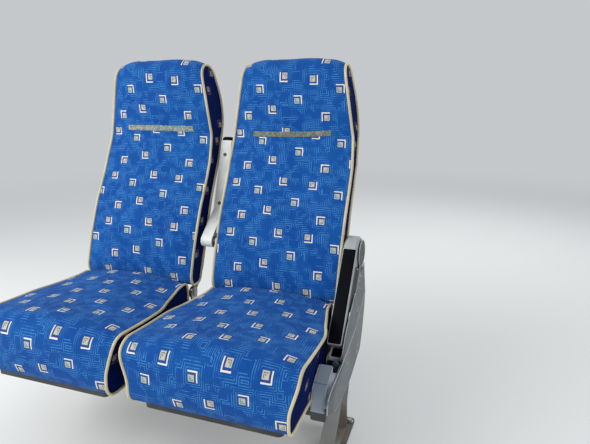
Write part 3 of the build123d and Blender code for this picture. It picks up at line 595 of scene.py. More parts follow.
for (across, down), (side, rise), warmth in bracket_places:
    moved = vectors("SUBTRACT", cloth_place, (across * repeat[0], down * repeat[1], 0.0))
    folded = vectors("WRAP", moved, half_repeat, tuple(-half for half in half_repeat))
    off_x, off_y, _ = parts_of(vectors("ABSOLUTE", folded))
    away = maths("MAXIMUM", off_x, off_y)
    to_square = maths("MINIMUM", away, to_square)
    here = maths("LESS_THAN", away, square_area)
    local = vectors("ADD", scaled(vectors("MULTIPLY", folded, (side, rise, 0.0)), here), local)
    warm = maths("MULTIPLY_ADD", here, warmth, warm)
    near = maths("ADD", here, near)

# One square: a white bracket on two sides, a shade line beside it, and a cream square with a hook and an eye
local_x, local_y, _ = parts_of(local)
lower, upper = maths("MINIMUM", local_x, local_y), maths("MAXIMUM", local_x, local_y)
in_square = maths("MULTIPLY", maths("LESS_THAN", upper, square_half), near)
in_square = maths("MULTIPLY", in_square, maths("GREATER_THAN", lower, -square_half))
bracket = maths("MULTIPLY", in_square, maths("LESS_THAN", lower, -0.0096))
shade = maths("MULTIPLY", in_square, maths("COMPARE", lower, -0.0087, 0.0009))
shifted = vectors("SUBTRACT", local, (0.0035, 0.0035, 0.0))
off_x, off_y, _ = parts_of(vectors("ABSOLUTE", shifted))
from_middle = maths("MAXIMUM", off_x, off_y)
in_inner = maths("MULTIPLY", maths("LESS_THAN", from_middle, 0.0086), near)
outline_ink = maths("MULTIPLY", in_inner, maths("GREATER_THAN", from_middle, 0.0078))
towards_x, towards_y, _ = parts_of(shifted)
open_side = maths("GREATER_THAN", maths("ADD", towards_x, towards_y), -0.002)
hook = maths("COMPARE", from_middle, 0.0043, 0.0009)
hook = maths("MULTIPLY", hook, maths("MULTIPLY", open_side, in_inner))
eye = maths("MULTIPLY", maths("LESS_THAN", from_middle, 0.0014), in_inner)
ink = maths("MAXIMUM", outline_ink, maths("MAXIMUM", hook, eye))

# Maze lines: even steps of the distance from the middles of square blocks and from the squares
block, line_pitch = 0.050, 0.0055
cells = node(
    plush_pattern, "ShaderNodeTexVoronoi", {"Vector": cloth_place, "Scale": 1 / block, "Randomness": 0.9},
    "Distance", voronoi_dimensions="2D", distance="CHEBYCHEV",
)
bare_chance, hand_chance, open_chance = parts_of(cells.node.outputs["Color"])
block_x, block_y, _ = parts_of(vectors("SUBTRACT", cloth_place, cells.node.outputs["Position"]))
hand = maths("SIGN", maths("SUBTRACT", hand_chance, 0.5))
open_part = maths("GREATER_THAN", maths("MULTIPLY", block_x, hand), maths("ABSOLUTE", block_y))
open_part = maths("MULTIPLY", open_part, maths("GREATER_THAN", open_chance, 0.45))
distance = maths("MULTIPLY", cells, block)
bare = maths("LESS_THAN", distance, maths("MULTIPLY", bare_chance, 0.019))
around_square = maths("SUBTRACT", to_square, 0.0165)
by_square = maths("LESS_THAN", around_square, distance)
ring_at = maths("MINIMUM", around_square, distance)
line = maths("LESS_THAN", maths("FRACT", maths("DIVIDE", ring_at, line_pitch)), 0.34)
hidden = maths("MULTIPLY", maths("MAXIMUM", bare, open_part), maths("SUBTRACT", 1.0, by_square))
maze = maths("MULTIPLY", line, maths("SUBTRACT", 1.0, hidden))
maze = maths("MULTIPLY", maze, ramped(noise(given[0], 34.0), 0.36, 0.6))
maze = maths("MULTIPLY", maze, maths("GREATER_THAN", around_square, 0.0))
fed(plush_pattern, result, {
    "White": bracket, "Shade": shade, "Fill": in_inner, "Warm": warm, "Maze": maze, "Ink": ink,
})


def plush(name, deep, light, line, white, square_share=0.9, line_share=0.52, nap=0.04):
    """Woven plush of one dye: a ground between two blues, lighter maze lines, and white and cream squares."""
    material, tree, shader = new_finish(name)
    cloth_uv = node(tree, "ShaderNodeUVMap", {}, uv_map="cloth")
    pattern = placed_group(tree, plush_pattern, {"Cloth": cloth_uv})
    pile = placed_group(tree, weave, {"Place": cloth_uv, "Threads": 3600.0})
    rib = noise(vectors("MULTIPLY", cloth_uv, (1.0, 0.13, 1.0)), 620.0)
    tone = maths("MULTIPLY_ADD", pile["Tone"], 0.55, maths("MULTIPLY_ADD", rib, 1.5, -0.52))
    cream = mixed(tint(180, 194, 176), tint(204, 196, 172), pattern["Warm"])
    colour = mixed(tint(*deep), tint(*light), tone, clamp_factor=False)
    colour = mixed(colour, tint(*line), pattern["Maze"], line_share)
    colour = mixed(colour, tint(104, 44, 50), pattern["Shade"], 0.8)
    colour = mixed(colour, cream, pattern["Fill"], square_share)
    colour = mixed(colour, tint(34, 56, 96), pattern["Ink"], 0.75)
    colour = mixed(colour, tint(*white), pattern["White"], square_share)
    fed(tree, shader, {
        "Base Color": colour,
        "Roughness": 0.88,
        "Specular IOR Level": 3 * nap,
        "Sheen Weight": nap,
        "Sheen Roughness": 0.45,
        "Normal": bumped(pile["Height"], 0.35, 0.0008),
    })
    return material


moquette = plush("moquette", (18, 68, 141), (28, 88, 160), (84, 156, 214), (232, 234, 228))
# Darker copy of the plush for the side panels: painted shade, for the shade between the seats and on the
# aisle side.
moquette_painted_shade = plush(
    "moquette_painted_shade", (3, 22, 68), (5, 28, 82), (14, 48, 114), (96, 102, 124), 0.45, 0.35, 0.008
)
cord_cream = hard_finish("cord_cream", (208, 196, 158), (158, 146, 112), 0.62, grain=1600.0, lift=0.4)
dress(frame_paint, *both("cushion_pan"))

cushion_count, cushion_columns, cushion_rings = 176, 62, 8
low, front, rear = 0.2525, -0.432, -0.006
cushion_line = np.concatenate(
    (
        [(rear, low), (front + 0.026, low)],
        arc_through((front + 0.026, low), (front + 0.006, low + 0.012), (front, low + 0.034), 8),
        [(front, low + 0.034), (front + 0.004, 0.370)],
        arc_through((front + 0.004, 0.370), (front + 0.019, 0.401), (front + 0.058, 0.411), 14),
        arc_through((front + 0.058, 0.411), (-0.165, 0.402), (rear - 0.012, 0.408), 40),
        [(rear, 0.396)],
    )
)
cushion_line = evened(cushion_line, cushion_count, 2)
narrowing = [-0.224, -0.205, -0.180, -0.160, -0.125, -0.099, -0.058]
narrow_half = [0.2275, 0.2255, 0.2195, 0.2125, 0.2050, 0.1990, 0.1895]
along_seat = np.interp(cushion_line[:, 0], narrowing, narrow_half)
up_front = np.interp(cushion_line[:, 1], [0.318, 0.385], [0.2070, 0.2275])
cushion_half = np.minimum(along_seat, up_front)
cushion_half = np.mean([np.roll(cushion_half, step) for step in range(-2, 3)], axis=0)
top_share = np.clip((cushion_line[:, 1] - 0.352) / 0.046, 0, 1)
front_share = np.clip((-0.40 - cushion_line[:, 0]) / 0.03, 0, 1)
front_share = front_share * np.clip((cushion_line[:, 1] - 0.27) / 0.03, 0, 1)
cushion_crown = 0.0185 * top_share + 0.006 * front_share * (1 - top_share)
cushion_power = np.full(cushion_count, 2.4)
cushion_line = cushion_line + (crease, 0.0)
block_cut = (0.02, 0.0, 0.0, 0.1275)
cushion_moves = None
for seat, centre in seats.items():
    shape = (cushion_line, cushion_half, centre, cushion_crown, cushion_power)
    cover = sewn_block(*shape, cushion_columns, cushion_rings, block_cut)
    name = f"cushion_cover_{seat}"
    cushion, place, row, on_seam = sewn_piece(name, cover, cushion_count, cushion_columns, "underframe")
    at_rear = (place[:, 1] > crease + rear - 0.004) & (place[:, 2] < 0.40)
    held = on_seam | at_rear | (place[:, 2] < 0.262)
    cushion_moves = filled(cushion, held, 0.006, 0.0035, cushion_moves)
    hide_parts(f"cushion_{seat}")
    wrap = points_of(cushion.data)[row < cushion_count].reshape(cushion_count, cushion_columns, 3)
    make(f"cushion_cord_{seat}", seam_cords(wrap, 0.0076), cord_cream, "underframe")

# Backrest pads
# Tall foam pads, curved to the back and narrow at the rounded head, in the same sewn plush.
# The wrap runs up the front, over the head and down the rear, and the cord loops round each side panel,
# darkened as painted shade.
back_count, back_columns, back_rings = 264, 60, 6
back_line = np.concatenate(
    (
        [(0.008, 0.390), (0.0, 0.421)],
        arc_through((0.0, 0.421), (0.0355, 0.5335), (0.083, 0.646), 40),
        arc_through((0.083, 0.646), (0.136, 0.742), (0.183, 0.858), 40),
        [(0.183, 0.858), (0.187, 1.036)],
        arc_through((0.187, 1.036), (0.232, 1.081), (0.279, 1.036), 40),
        arc_through((0.279, 1.036), (0.293, 0.975), (0.260, 0.866), 30),
        arc_through((0.260, 0.866), (0.197, 0.742), (0.149, 0.646), 40),
        [(0.149, 0.646), (0.054, 0.390)],
    )
)
back_line = evened(back_line, back_count, 2)
height = back_line[:, 1]
back_half = np.interp(height, [0.33, 0.777, 0.866, 1.048, 1.085], [0.2, 0.2025, 0.196, 0.1665, 0.1600])
on_front = np.arange(back_count) < back_count // 2
over = np.clip((height - 1.034) / 0.047, 0, 1)
front_crown = np.interp(height, [0.40, 0.47, 0.64, 0.86, 1.03], [0.002, 0.005, 0.007, 0.010, 0.011])
front_crown = front_crown * np.sqrt(1 - over**2)
back_crown = np.hypot(np.where(on_front, front_crown, 0.0), 0.0187 * over)
back_power = 2.6 + 2.6 * over + np.where(on_front, 0.5 * np.clip((height - 0.8) / 0.2, 0, 1), 0.0)
back_line = back_line + (crease, 0.0)


def fuzzy_tape(name, colour, tips):
    """Worn hook-and-loop tape: thin slanting ribs under a pale nap that gathers in tufts."""
    material, tree, shader = new_finish(name)
    place = own_place(tree)
    x, _, z = parts_of(place)
    slant = maths("MULTIPLY_ADD", z, 420.0, maths("MULTIPLY", x, 1500.0))
    ribs = maths("MULTIPLY_ADD", maths("SINE", slant), 0.5, 0.5)
    nap = noise(place, 900.0, 3.0)
    tufts = ramped(noise(place, 150.0, 3.0), 0.35, 0.7)
    share = maths("MULTIPLY", tufts, maths("MULTIPLY_ADD", nap, 0.6, 0.4))
    fed(tree, shader, {
        "Base Color": mixed(tint(*colour), tint(*tips), share),
        "Roughness": 0.95,
        "Sheen Weight": 0.3,
        "Normal": bumped(maths("MULTIPLY_ADD", ribs, 0.4, nap), 0.9, 0.0010),
    })
    return material


# The aisle seat's tape is darker than the window seat's.
loop_tapes = {
    "window": fuzzy_tape("loop_tape", (110, 120, 114), (178, 188, 176)),
    "aisle": fuzzy_tape("loop_tape_darker", (92, 98, 86), (150, 156, 138)),
}


def slab(outer, inner):
    """Closed sheet between two grids of points: both grids, and a strip of quads round their four edges."""
    rows, columns = outer.shape[:2]
    points = np.concatenate((outer.reshape(-1, 3), inner.reshape(-1, 3)))
    face = grid_quads(rows, columns)
    number = np.arange(rows * columns).reshape(rows, columns)
    rim = np.concatenate((number[0], number[1:, -1], number[-1, -2::-1], number[-2:0:-1, 0]))
    after = np.roll(rim, -1)
    wall = np.stack((rim, after, after + rows * columns, rim + rows * columns), -1)
    return points, [(np.concatenate((face[:, ::-1], face + rows * columns, wall)), None)]


# For each seat: the cut of its plush, how far its head stands above the outline, and its tape's shift,
# height, half width and share of sag
fabric_cuts = {"window": (0.102, 0.10, 0.644, 0.0018), "aisle": (0.102, 0.057, 0.644, -0.0007)}
head_lifts = {"window": 0.007, "aisle": 0.001}
tape_places = {"window": (0.007, 0.8805, 0.009, 0.0), "aisle": (0.0025, 0.874, 0.008, 1.0)}
back_moves = None
for seat, centre in seats.items():
    body = f"backrest_{seat}"
    shape = (back_line, back_half, centre, back_crown, back_power)
    cover = sewn_block(*shape, back_columns, back_rings, fabric_cuts[seat])
    cover[0][:, 2] += head_lifts[seat] * np.clip((cover[0][:, 2] - 0.90) / 0.16, 0, 1)
    pad, place, row, on_seam = sewn_piece(f"back_cover_plush_{seat}", cover, back_count, back_columns, body)
    behind = (row >= back_count // 2) & (row < back_count) & (place[:, 2] < 1.06)
    back_moves = filled(pad, on_seam | behind | (place[:, 2] < 0.40), 0.0055, 0.004, back_moves)
    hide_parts(f"back_pad_{seat}")
    wrap = points_of(pad.data)[row < back_count].reshape(back_count, back_columns, 3)
    make(f"back_cord_{seat}", seam_cords(wrap, 0.0082), cord_cream, body)

    # Loop tape for a washable head cover, sewn on the front of the head and sagging a little with age
    front_rows = wrap[20 : int(0.45 * back_count)]
    middle_z = front_rows[:, back_columns // 2, 2]
    shift, tape_z, tape_half, sag = tape_places[seat]
    t = np.linspace(-1, 1, 80)[None]
    v = np.linspace(-1, 1, 7)[:, None]
    middle = tape_z + sag * (-3.1 + 4.1 * t + 3.0 * t**2) / 1000 + 0.0004 * np.sin(t * 41) * v
    row = np.interp(middle + v * tape_half, middle_z, np.arange(len(middle_z)))
    column = ((t * 0.128 + shift) / 0.1945 + 1) / 2 * (back_columns - 1) + 0 * row
    i, j = row.astype(int), column.astype(int)
    a, b = (row - i)[..., None], (column - j)[..., None]
    below = front_rows[i, j] * (1 - b) + front_rows[i, j + 1] * b
    above = front_rows[i + 1, j] * (1 - b) + front_rows[i + 1, j + 1] * b
    under = below * (1 - a) + above * a
    thick = 0.0024 * np.sqrt(1 - 0.7 * v**4) + 0 * t
    sheet = slab(under - thick[..., None] * (0, 1, 0), under + (0, 0.0004, 0))
    tape = make(f"head_tape_{seat}", [sheet], loop_tapes[seat], body)
    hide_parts(f"head_strip_{seat}")


# Rear covers
# A stiff board in light-grey grained vinyl, a little padded, whose sides turn in to the pad.
# Black piping runs round its edge, and moulded clips hold it to the frame at the foot.
leather_grain, given, result = effect_group(
    "leather_grain", {"Place": None, "Cells": 620.0}, ("Height", "Crease")
)
shaken = vectors("MULTIPLY_ADD", noise(given[0], 260.0, out="Color"), (0.0016, 0.0016, 0.0016), given[0])
cells = node(
    leather_grain, "ShaderNodeTexVoronoi", {"Vector": shaken, "Scale": given[1]}, "Distance",
    feature="DISTANCE_TO_EDGE",
)
raised = ramped(cells, 0.02, 0.30)
fed(leather_grain, result, {"Height": raised, "Crease": maths("SUBTRACT", 1.0, raised)})


def grained(name, colour, soiled, roughness, cells=620.0, lift=0.3, soiled_share=0.5, patches=6.0, shine=0.5):
    """Grained skin or vinyl: soft soiled patches over the colour, darker in the grain's creases."""
    material, tree, shader = new_finish(name)
    colour, soiled = tint(*colour), tint(*soiled)
    place = own_place(tree)
    age = placed_group(tree, surface_age, {"Place": place, "Patch Scale": patches, "Grain Scale": 1400.0})
    grain = placed_group(tree, leather_grain, {"Place": place, "Cells": cells})
    dark = tuple(0.45 * channel for channel in colour[:3]) + (1.0,)
    aged = mixed(colour, soiled, age["Patch"], soiled_share)
    aged = mixed(aged, soiled, age["Scuff"], 0.25 * soiled_share)
    fed(tree, shader, {
        "Base Color": mixed(aged, dark, grain["Crease"], 0.35),
        "Specular IOR Level": shine,
        "Roughness": maths("MULTIPLY_ADD", age["Patch"], 0.14, roughness),
        "Normal": bumped(maths("MULTIPLY_ADD", age["Grain"], 0.3, grain["Height"]), lift, 0.0004),
    })
    return material


rear_vinyl = grained("rear_vinyl", (166, 164, 160), (132, 124, 112), 0.46)
piping_black = grained("piping_black", (26, 26, 28), (62, 60, 56), 0.45, 900.0, 0.2)
rear_line = np.concatenate(
    (
        [(0.054, 0.390)],
        arc_through((0.149, 0.646), (0.197, 0.742), (0.260, 0.866), 40),
        arc_through((0.260, 0.866), (0.293, 0.975), (0.279, 1.048), 30)[1:],
        arc_through((0.279, 1.048), (0.272, 1.078), (0.248, 1.0975), 12)[1:],
    )
)


def pad_rear(z):
    """Depth of the pad's rear surface at a height."""
    return crease + np.interp(z, rear_line[:, 1], rear_line[:, 0])


def cover_half(z):
    """Half width of the rear cover at a height."""
    return np.interp(z, [0.330, 0.777, 0.866, 1.048], [0.193, 0.1955, 0.189, 0.1595])


def cover_rear(z):
    """Depth of the rear cover's outer surface at a height, a smooth line through its bends."""
    steps = np.linspace(-0.03, 0.03, 13)
    line = [np.interp(z + step, [0.400, 0.646, 0.866, 0.944], [0.088, 0.177, 0.268, 0.301]) for step in steps]
    ends = [np.interp(z + step, [0.34, 0.400, 0.944, 1.0], [-0.0217, 0.0, 0.0, 0.0237]) for step in steps]
    return crease + np.mean(line, axis=0) + np.mean(ends, axis=0)


def cover_section(z, inset, crown):
    """Points across the cover at each height: side return, round corner, crowned face, corner and return.

    On the corner x is half - r + r sin a and y is the rear depth - r + r cos a, as a goes over a quarter
    turn. The face moves out by crown times 1 - s^2, less at the ends.
    """
    half = cover_half(z)[:, None] - inset
    back = cover_rear(z)[:, None] - inset
    foremost = pad_rear(z)[:, None] + 0.0006
    r = np.minimum(0.011 - inset, 0.85 * (back - foremost))
    a = np.linspace(0, np.pi / 2, 8)[None]
    arc_x, arc_y = half - r + r * np.sin(a), back - r + r * np.cos(a)
    s = np.linspace(0, 1, 22)[None, :-1]
    end = np.clip((z - z.min()) / 0.05, 0, 1) * np.clip((z.max() - z) / 0.03, 0, 1)
    face_x = s * (half - r)
    ripple = 0.0007 * np.sin(58 * z[:, None] + 3 * s) * (1 - s**2)
    face_y = back + (crown * (1 - s**2) + ripple) * end[:, None]
    side_y = arc_y[:, -1:] + (foremost - arc_y[:, -1:]) * np.array([[0.5, 1.0]])
    x = np.concatenate((face_x, arc_x, half + 0 * side_y), 1)
    y = np.concatenate((face_y, arc_y, side_y), 1)
    x = np.concatenate((-x[:, :0:-1], x), 1)
    y = np.concatenate((y[:, :0:-1], y), 1)
    return np.stack((x, y, np.broadcast_to(z[:, None], x.shape)), -1)


def rounded_loop(corners, r, count=10):
    """Closed outline through the corners, each turned by a quarter-like curve that starts r before it."""
    corners = np.asarray(corners, float)
    before = unit(np.roll(corners, 1, 0) - corners) * r
    after = unit(np.roll(corners, -1, 0) - corners) * r
    t = np.linspace(0, 1, count)[None, :, None]
    a, b, c = (corners + before)[:, None], corners[:, None], (corners + after)[:, None]
    return (a * (1 - t) ** 2 + 2 * b * t * (1 - t) + c * t**2).reshape(-1, corners.shape[1])


cover_z = np.linspace(0.402, 0.9435, 96)
edge_z = np.array([0.4065, 0.777, 0.866, 0.9425])
edge = np.column_stack((cover_half(edge_z) - 0.0035, edge_z))
piping_line = evened(rounded_loop(np.concatenate((edge, edge[::-1] * (-1, 1))), 0.016), 420, 1)
clip_places = ((-0.150, 0.432), (0.0, 0.428), (0.150, 0.432), (-0.150, 0.612), (0.150, 0.612))
clip_outline = [(0.0085, -0.0015), (0.0088, 0.0010), (0.0070, 0.0026), (0.0035, 0.0034)]
clip_way = (0.0, 1.0, -0.36)
for seat, centre in seats.items():
    body = f"backrest_{seat}"
    outer, inner = cover_section(cover_z, 0.0, 0.0035), cover_section(cover_z, 0.0028, 0.0035)
    skin = slab(outer + (centre, 0, 0), inner + (centre, 0, 0))
    skin = make(f"rear_skin_{seat}", [skin], rear_vinyl, body)
    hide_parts(f"back_cover_{seat}")
    x, z = piping_line.T
    piping = round_bar(np.column_stack((centre + x, cover_rear(z) - 0.0022, z)), 0.0064, (0, 1, 0), True)
    make(f"rear_piping_{seat}", [piping], piping_black, body)
    clips = []
    for x, z in clip_places:
        y = cover_rear(z) + 0.0028 * (1 - (x / 0.19) ** 2) + 0.0002
        clips.append(turned((centre + x, y, z), clip_way, clip_outline, 24))
    make(f"rear_clips_{seat}", clips, plug_black, body)

# Head rolls
# A padded roll across the top of each rear cover, in the same vinyl, with a dark seam below it.
roll_columns, roll_count = 60, 96
roll_z = np.linspace(0.946, 1.0665, 40)
roll_inner = np.column_stack((pad_rear(roll_z) - crease + 0.0014, roll_z))
roll_outer = arc_through((0.2765, 1.0665), (0.3125, 1.006), (0.2975, 0.946), 60)
roll_line = evened(np.concatenate((roll_inner, roll_outer, [(0.2955, 0.9452)])), roll_count, 1)
roll_depth = np.clip((roll_line[:, 0] + crease - pad_rear(roll_line[:, 1]) - 0.002) / 0.020, 0, 1)
roll_half = np.interp(roll_line[:, 1], [0.944, 1.030, 1.068], [0.1770, 0.1625, 0.150]) - 0.007 * roll_depth**2
roll_power = np.full(roll_count, 4.0)
roll_line = roll_line + (crease, 0.0)
for seat, centre in seats.items():
    body = f"backrest_{seat}"
    shape = (roll_line, roll_half, centre, 0.0015 * roll_depth, roll_power)
    shape = sewn_block(*shape, roll_columns, 5, (0.0, 0.0, 0.0, 0.0))
    roll = make(f"rear_roll_{seat}", [shape], rear_vinyl, body, 70.0)
    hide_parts(f"head_roll_{seat}")
    wrap = shape[0][: roll_count * roll_columns].reshape(roll_count, roll_columns, 3)
    rim = [round_bar(wrap[:, edge], 0.0050, (1, 0, 0), True, 10) for edge in (0, -1)]
    make(f"roll_piping_{seat}", rim, piping_black, body)

# Magazine pockets
# A sheet of darker vinyl sewn to the cover at its sides and foot, with a slack mouth and a black elastic hem.
pocket_vinyl = grained("pocket_vinyl", (118, 111, 100), (86, 80, 72), 0.5, 520.0, 0.35)
u = np.linspace(-1, 1, 61)[None]
v = np.linspace(0, 1, 34)[:, None]
pocket_z = 0.6535 + 0.1945 * v + 0.004 * v * (u**2 - 1)
pocket_x = u * (0.1665 + 0.0025 * v)
puff = 0.0205 * v**1.15 * (1 - np.abs(u) ** 7) + 0.0012 * np.sin(5.2 * u + 2 * v) * v * (1 - u**2)
pocket_y = cover_rear(pocket_z) + 0.0035 * (1 - (pocket_x / 0.185) ** 2) + 0.0012 + puff
for seat, centre in seats.items():
    body = f"backrest_{seat}"
    sheet = np.stack((centre + pocket_x, pocket_y, pocket_z), -1)
    pocket = slab(sheet + (0, 0.0012, 0), sheet)
    pocket = make(f"magazine_pocket_{seat}", [pocket], pocket_vinyl, body)
    mouth = sheet[-1] + (0, 0.0006, -0.006)
    hem_sizes = rounded_ends(mouth, 0.0040, 0.016, 0.004, 0.004)
    hem = carried(mouth, ring_section(0.0040, 0.016, 5.0, 20), (0, 1, 0), sizes=hem_sizes)
    hem = make(f"pocket_hem_{seat}", [hem], piping_black, body)
    seam = np.concatenate((sheet[:0:-1, 0], sheet[0, :-1], sheet[:, -1]))
    seam = np.pad(seam, ((2, 2), (0, 0)), "edge")
    seam = np.column_stack([np.convolve(seam[:, k], np.ones(5) / 5, "valid") for k in range(3)])
    binding = round_bar(seam + (0, 0.0006, 0), 0.0042, (0, 1, 0), count=10)
    binding = make(f"pocket_binding_{seat}", [binding], piping_black, body)
    length = np.linalg.norm(np.diff(sheet, axis=0), axis=-1).sum(0).mean()
    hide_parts(f"pocket_{seat}")

# Centre armrest, raised between the backs
# A pale moulded channel, worn at its edges, with a black foam pad that wraps its tip.
# Two screws through the channel hold the pad.
channel_grey = hard_finish("channel_grey", (224, 228, 224), (190, 190, 182), 0.5, grain=1200.0, patches=22.0)
pad_black = grained("pad_black", (8, 10, 17), (17, 19, 27), 0.5, 760.0, 0.22, 0.6, 12.0, 0.08)
rusty = hard_finish(
    "rusty", (112, 84, 66), (62, 50, 44), 0.7, metallic=0.4, grain=1500.0, lift=0.4, patches=90.0
)
dress(channel_grey, "centre_arm_shell")


def leaning(degrees):
    """Direction in the side view, an angle to the rear of upright: the angle's sine and cosine."""
    return np.array([0.0, math.sin(math.radians(degrees)), math.cos(math.radians(degrees))])


reach_lean, knee_lean = 18.7, 50.3
reach_dir, knee_dir = leaning(reach_lean), leaning(knee_lean)
under_way = np.array([0.0, reach_dir[2], -reach_dir[1]])
centre_pin = np.array([-0.467, crease + 0.058, 0.534])


def centre_arm_line(depth):
    """Start, bend and tip of a line inside the raised armrest, at a depth behind its underside."""
    half = 0.020 - depth
    start = centre_pin + half * np.array([0.0, -knee_dir[2], knee_dir[1]])
    shift = -half * math.tan(math.radians((knee_lean - reach_lean) / 2))
    bend = start + knee_dir * (0.1213 + shift)
    return start, bend, bend + reach_dir * (0.2523 + shift)


def smoothed(path, at, reach):
    """Points at lengths along a path, each the mean of nine within reach of it."""
    far = run_along(path)
    steps = np.linspace(-reach, reach, 9)
    lines = [[np.interp(at + step, far, path[:, k]) for k in range(3)] for step in steps]
    return np.mean(lines, axis=0).T


pad_low, pad_high, pad_width = 0.0127, 0.0400, 0.0362
pad_depth = pad_high - pad_low
start, bend, tip = centre_arm_line((pad_low + pad_high) / 2)
first = start + knee_dir * 0.0427
path = np.concatenate((stations(first, bend, 0.006, 6)[:-1], stations(bend, tip, 0.012, 10)))
long = run_along(path)[-1]
near_tip = np.array([162, 153, 146, 138, 120, 98, 77, 58, 41, 27, 16, 7, 1]) / 10000
at = np.concatenate((np.linspace(0, 0.01, 8)[:-1], np.linspace(0.01, long - 0.019, 70), long - near_tip))
path = smoothed(path, at, 0.004)
path[-1] = tip

# The pad wraps the tip: there it takes the whole depth of the channel and its middle moves to match
wraps = np.clip((0.0150 - (long - at)) / 0.0012, 0, 1)
path = path - wraps[:, None] * under_way * (pad_low / 2)
sizes = rounded_ends(path, pad_width, pad_depth, 0.004, 0.010)
sizes[:, 1] = sizes[:, 1] * (1 + wraps * (pad_high / pad_depth - 1))
centre_pad = carried(path, ring_section(pad_width, pad_depth, 5.0, 40), (1, 0, 0), sizes=sizes)
centre_pad = make("centre_arm_cushion", [centre_pad], pad_black, "centre_armrest", 50.0)
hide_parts("centre_arm_pad")
under_tip = centre_arm_line(0.0)[2]
screw_outline = [(0.0060, -0.0004), (0.0060, 0.0007), (0.0050, 0.0014), (0.0024, 0.0009)]
for side, back, finish in (("high", 0.064, frame_paint), ("low", 0.228, rusty)):
    screw = turned(under_tip - reach_dir * back, -under_way, screw_outline, 24)
    make(f"centre_arm_screw_{side}", [screw], finish, "centre_armrest")
cap_outline = [(0.0135, 0.0), (0.0135, 0.0014), (0.0115, 0.0030), (0.006, 0.0038)]
pivot_cap = turned(centre_pin - (0.019, 0.0, 0.0), (-1, 0, 0), cap_outline)
make("centre_arm_pivot_cap", [pivot_cap], plug_black, "centre_armrest")

# Aisle armrest, folded down beside the cushion
# A light-grey moulded shell with a round hub, a black skin-foam pad in its rim and a dark strip outside.
hub_grey = hard_finish(
    "hub_grey", (164, 170, 170), (138, 141, 140), 0.42, grain=1100.0, lift=0.12, patches=18.0
)
trim_dark = hard_finish("trim_dark", (58, 56, 54), (92, 90, 88), 0.55, grain=700.0, lift=0.3)
dress(hub_grey, "aisle_arm_shell")
hub = np.array([0.00275, crease + 0.081, 0.535])
arm_slope = math.radians(53)
arm_way = np.array([0.0, -math.cos(arm_slope), -math.sin(arm_slope)])
arm_up = np.array([0.0, arm_way[2], -arm_way[1]])


def on_arm(u, v, x=0.0):
    """Point of the folded armrest: u along it from the hub, v out of its pad, x off its middle plane."""
    return hub + arm_way * u + arm_up * v + np.array([x, 0.0, 0.0])


pad_path = stations(on_arm(0.0084, 0.0453), on_arm(0.2815, 0.0453), 0.005, 10)
pad_path = np.concatenate((pad_path[:9], np.linspace(pad_path[9], pad_path[-10], 30), pad_path[-9:]))
arm_pad = softened_bar(pad_path, 0.0374, 0.0120, (1, 0, 0), 0.0032, 6.0, 48)
arm_pad = make("aisle_arm_cushion", [arm_pad], pad_black, "aisle_armrest", 50.0)
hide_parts("aisle_arm_pad")
strip_path = stations(on_arm(0.052, 0.0258, 0.0208), on_arm(0.276, 0.0258, 0.0208), 0.006)
strip = softened_bar(strip_path, 0.0014, 0.0196, (1, 0, 0), 0.006, 8.0)
make("aisle_arm_side_strip", [strip], trim_dark, "aisle_armrest")

# Side plate cap and side panel
# A dark round cap closes the pivot on the outside, in a light ring.
# The panel is a mid-grey moulding with a ridge, pale where bags and shoes have rubbed it; pale beads on its
# edges are a painted highlight.
cap_dark = hard_finish("cap_dark", (62, 66, 64), (92, 94, 90), 0.5, grain=800.0, lift=0.25, patches=30.0)
cap_outline = [(0.0384, 0.0), (0.0386, 0.0010), (0.0380, 0.0024), (0.0355, 0.0031), (0.0315, 0.0026),
               (0.004, 0.0024)]
cap = turned((0.0285, hub[1], hub[2]), (1, 0, 0), cap_outline, 72)
cap = make("pivot_cap", [cap], cap_dark, "underframe")
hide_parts("panel_cap")
turn = np.linspace(0, 2 * np.pi, 96, endpoint=False)
ring = np.column_stack((np.full(96, 0.0292), hub[1] + 0.0392 * np.cos(turn), hub[2] + 0.0392 * np.sin(turn)))
make("pivot_cap_ring", [round_bar(ring, 0.0030, (1, 0, 0), True, 10)], hub_grey, "underframe")


def painted_over(material, paint, mask):
    """Lays a colour over a finish where the mask is 1."""
    tree = material.node_tree
    colour = tree.nodes["Principled BSDF"].inputs["Base Color"]
    tree.links.new(mixed(colour.links[0].from_socket, tint(*paint), mask), colour)


def rub_over(material, pale, spots):
    """Adds pale scuffs to a finish: each spot is a point and a radius, broken up by streaks."""
    tree = material.node_tree
    place = own_place(tree)
    turned_place = {"Vector": place, "Rotation": (-0.40, 0.0, 0.0)}
    stretched = node(tree, "ShaderNodeMapping", turned_place, vector_type="TEXTURE")
    streaks = noise(vectors("MULTIPLY", stretched, (1.0, 0.10, 1.0)), 170.0, 4.0)
    painted_over(material, pale, maths("MULTIPLY", ramped(streaks, 0.54, 0.74), 0.09))
    share = 0.0
    for point, radius in spots:
        length = vectors("LENGTH", vectors("SUBTRACT", place, point), out="Value")
        share = maths("MAXIMUM", maths("SUBTRACT", 1.0, ramped(length, 0.3 * radius, radius)), share)
    broken = maths("MULTIPLY", ramped(streaks, 0.48, 0.62), 0.32)
    painted_over(material, pale, maths("MULTIPLY", share, broken))


panel_grey = hard_finish(
    "panel_grey", (93, 98, 102), (106, 109, 111), 0.42, grain=700.0, lift=0.25, patches=16.0, worn_share=0.4
)
rub_over(panel_grey, (196, 202, 206), [
    ((0.034, crease + 0.062, 0.455), 0.032), ((0.037, crease + 0.018, 0.392), 0.022),
    ((0.037, crease - 0.110, 0.300), 0.030), ((0.038, crease + 0.010, 0.262), 0.020),
])
# Pale grey of the moulded edge beads: a painted highlight, where light catches the edges.
edge_highlight_grey = hard_finish("edge_highlight_grey", (176, 182, 190), (136, 141, 148), 0.4, grain=900.0, patches=40.0)
dress(panel_grey, "aisle_panel")


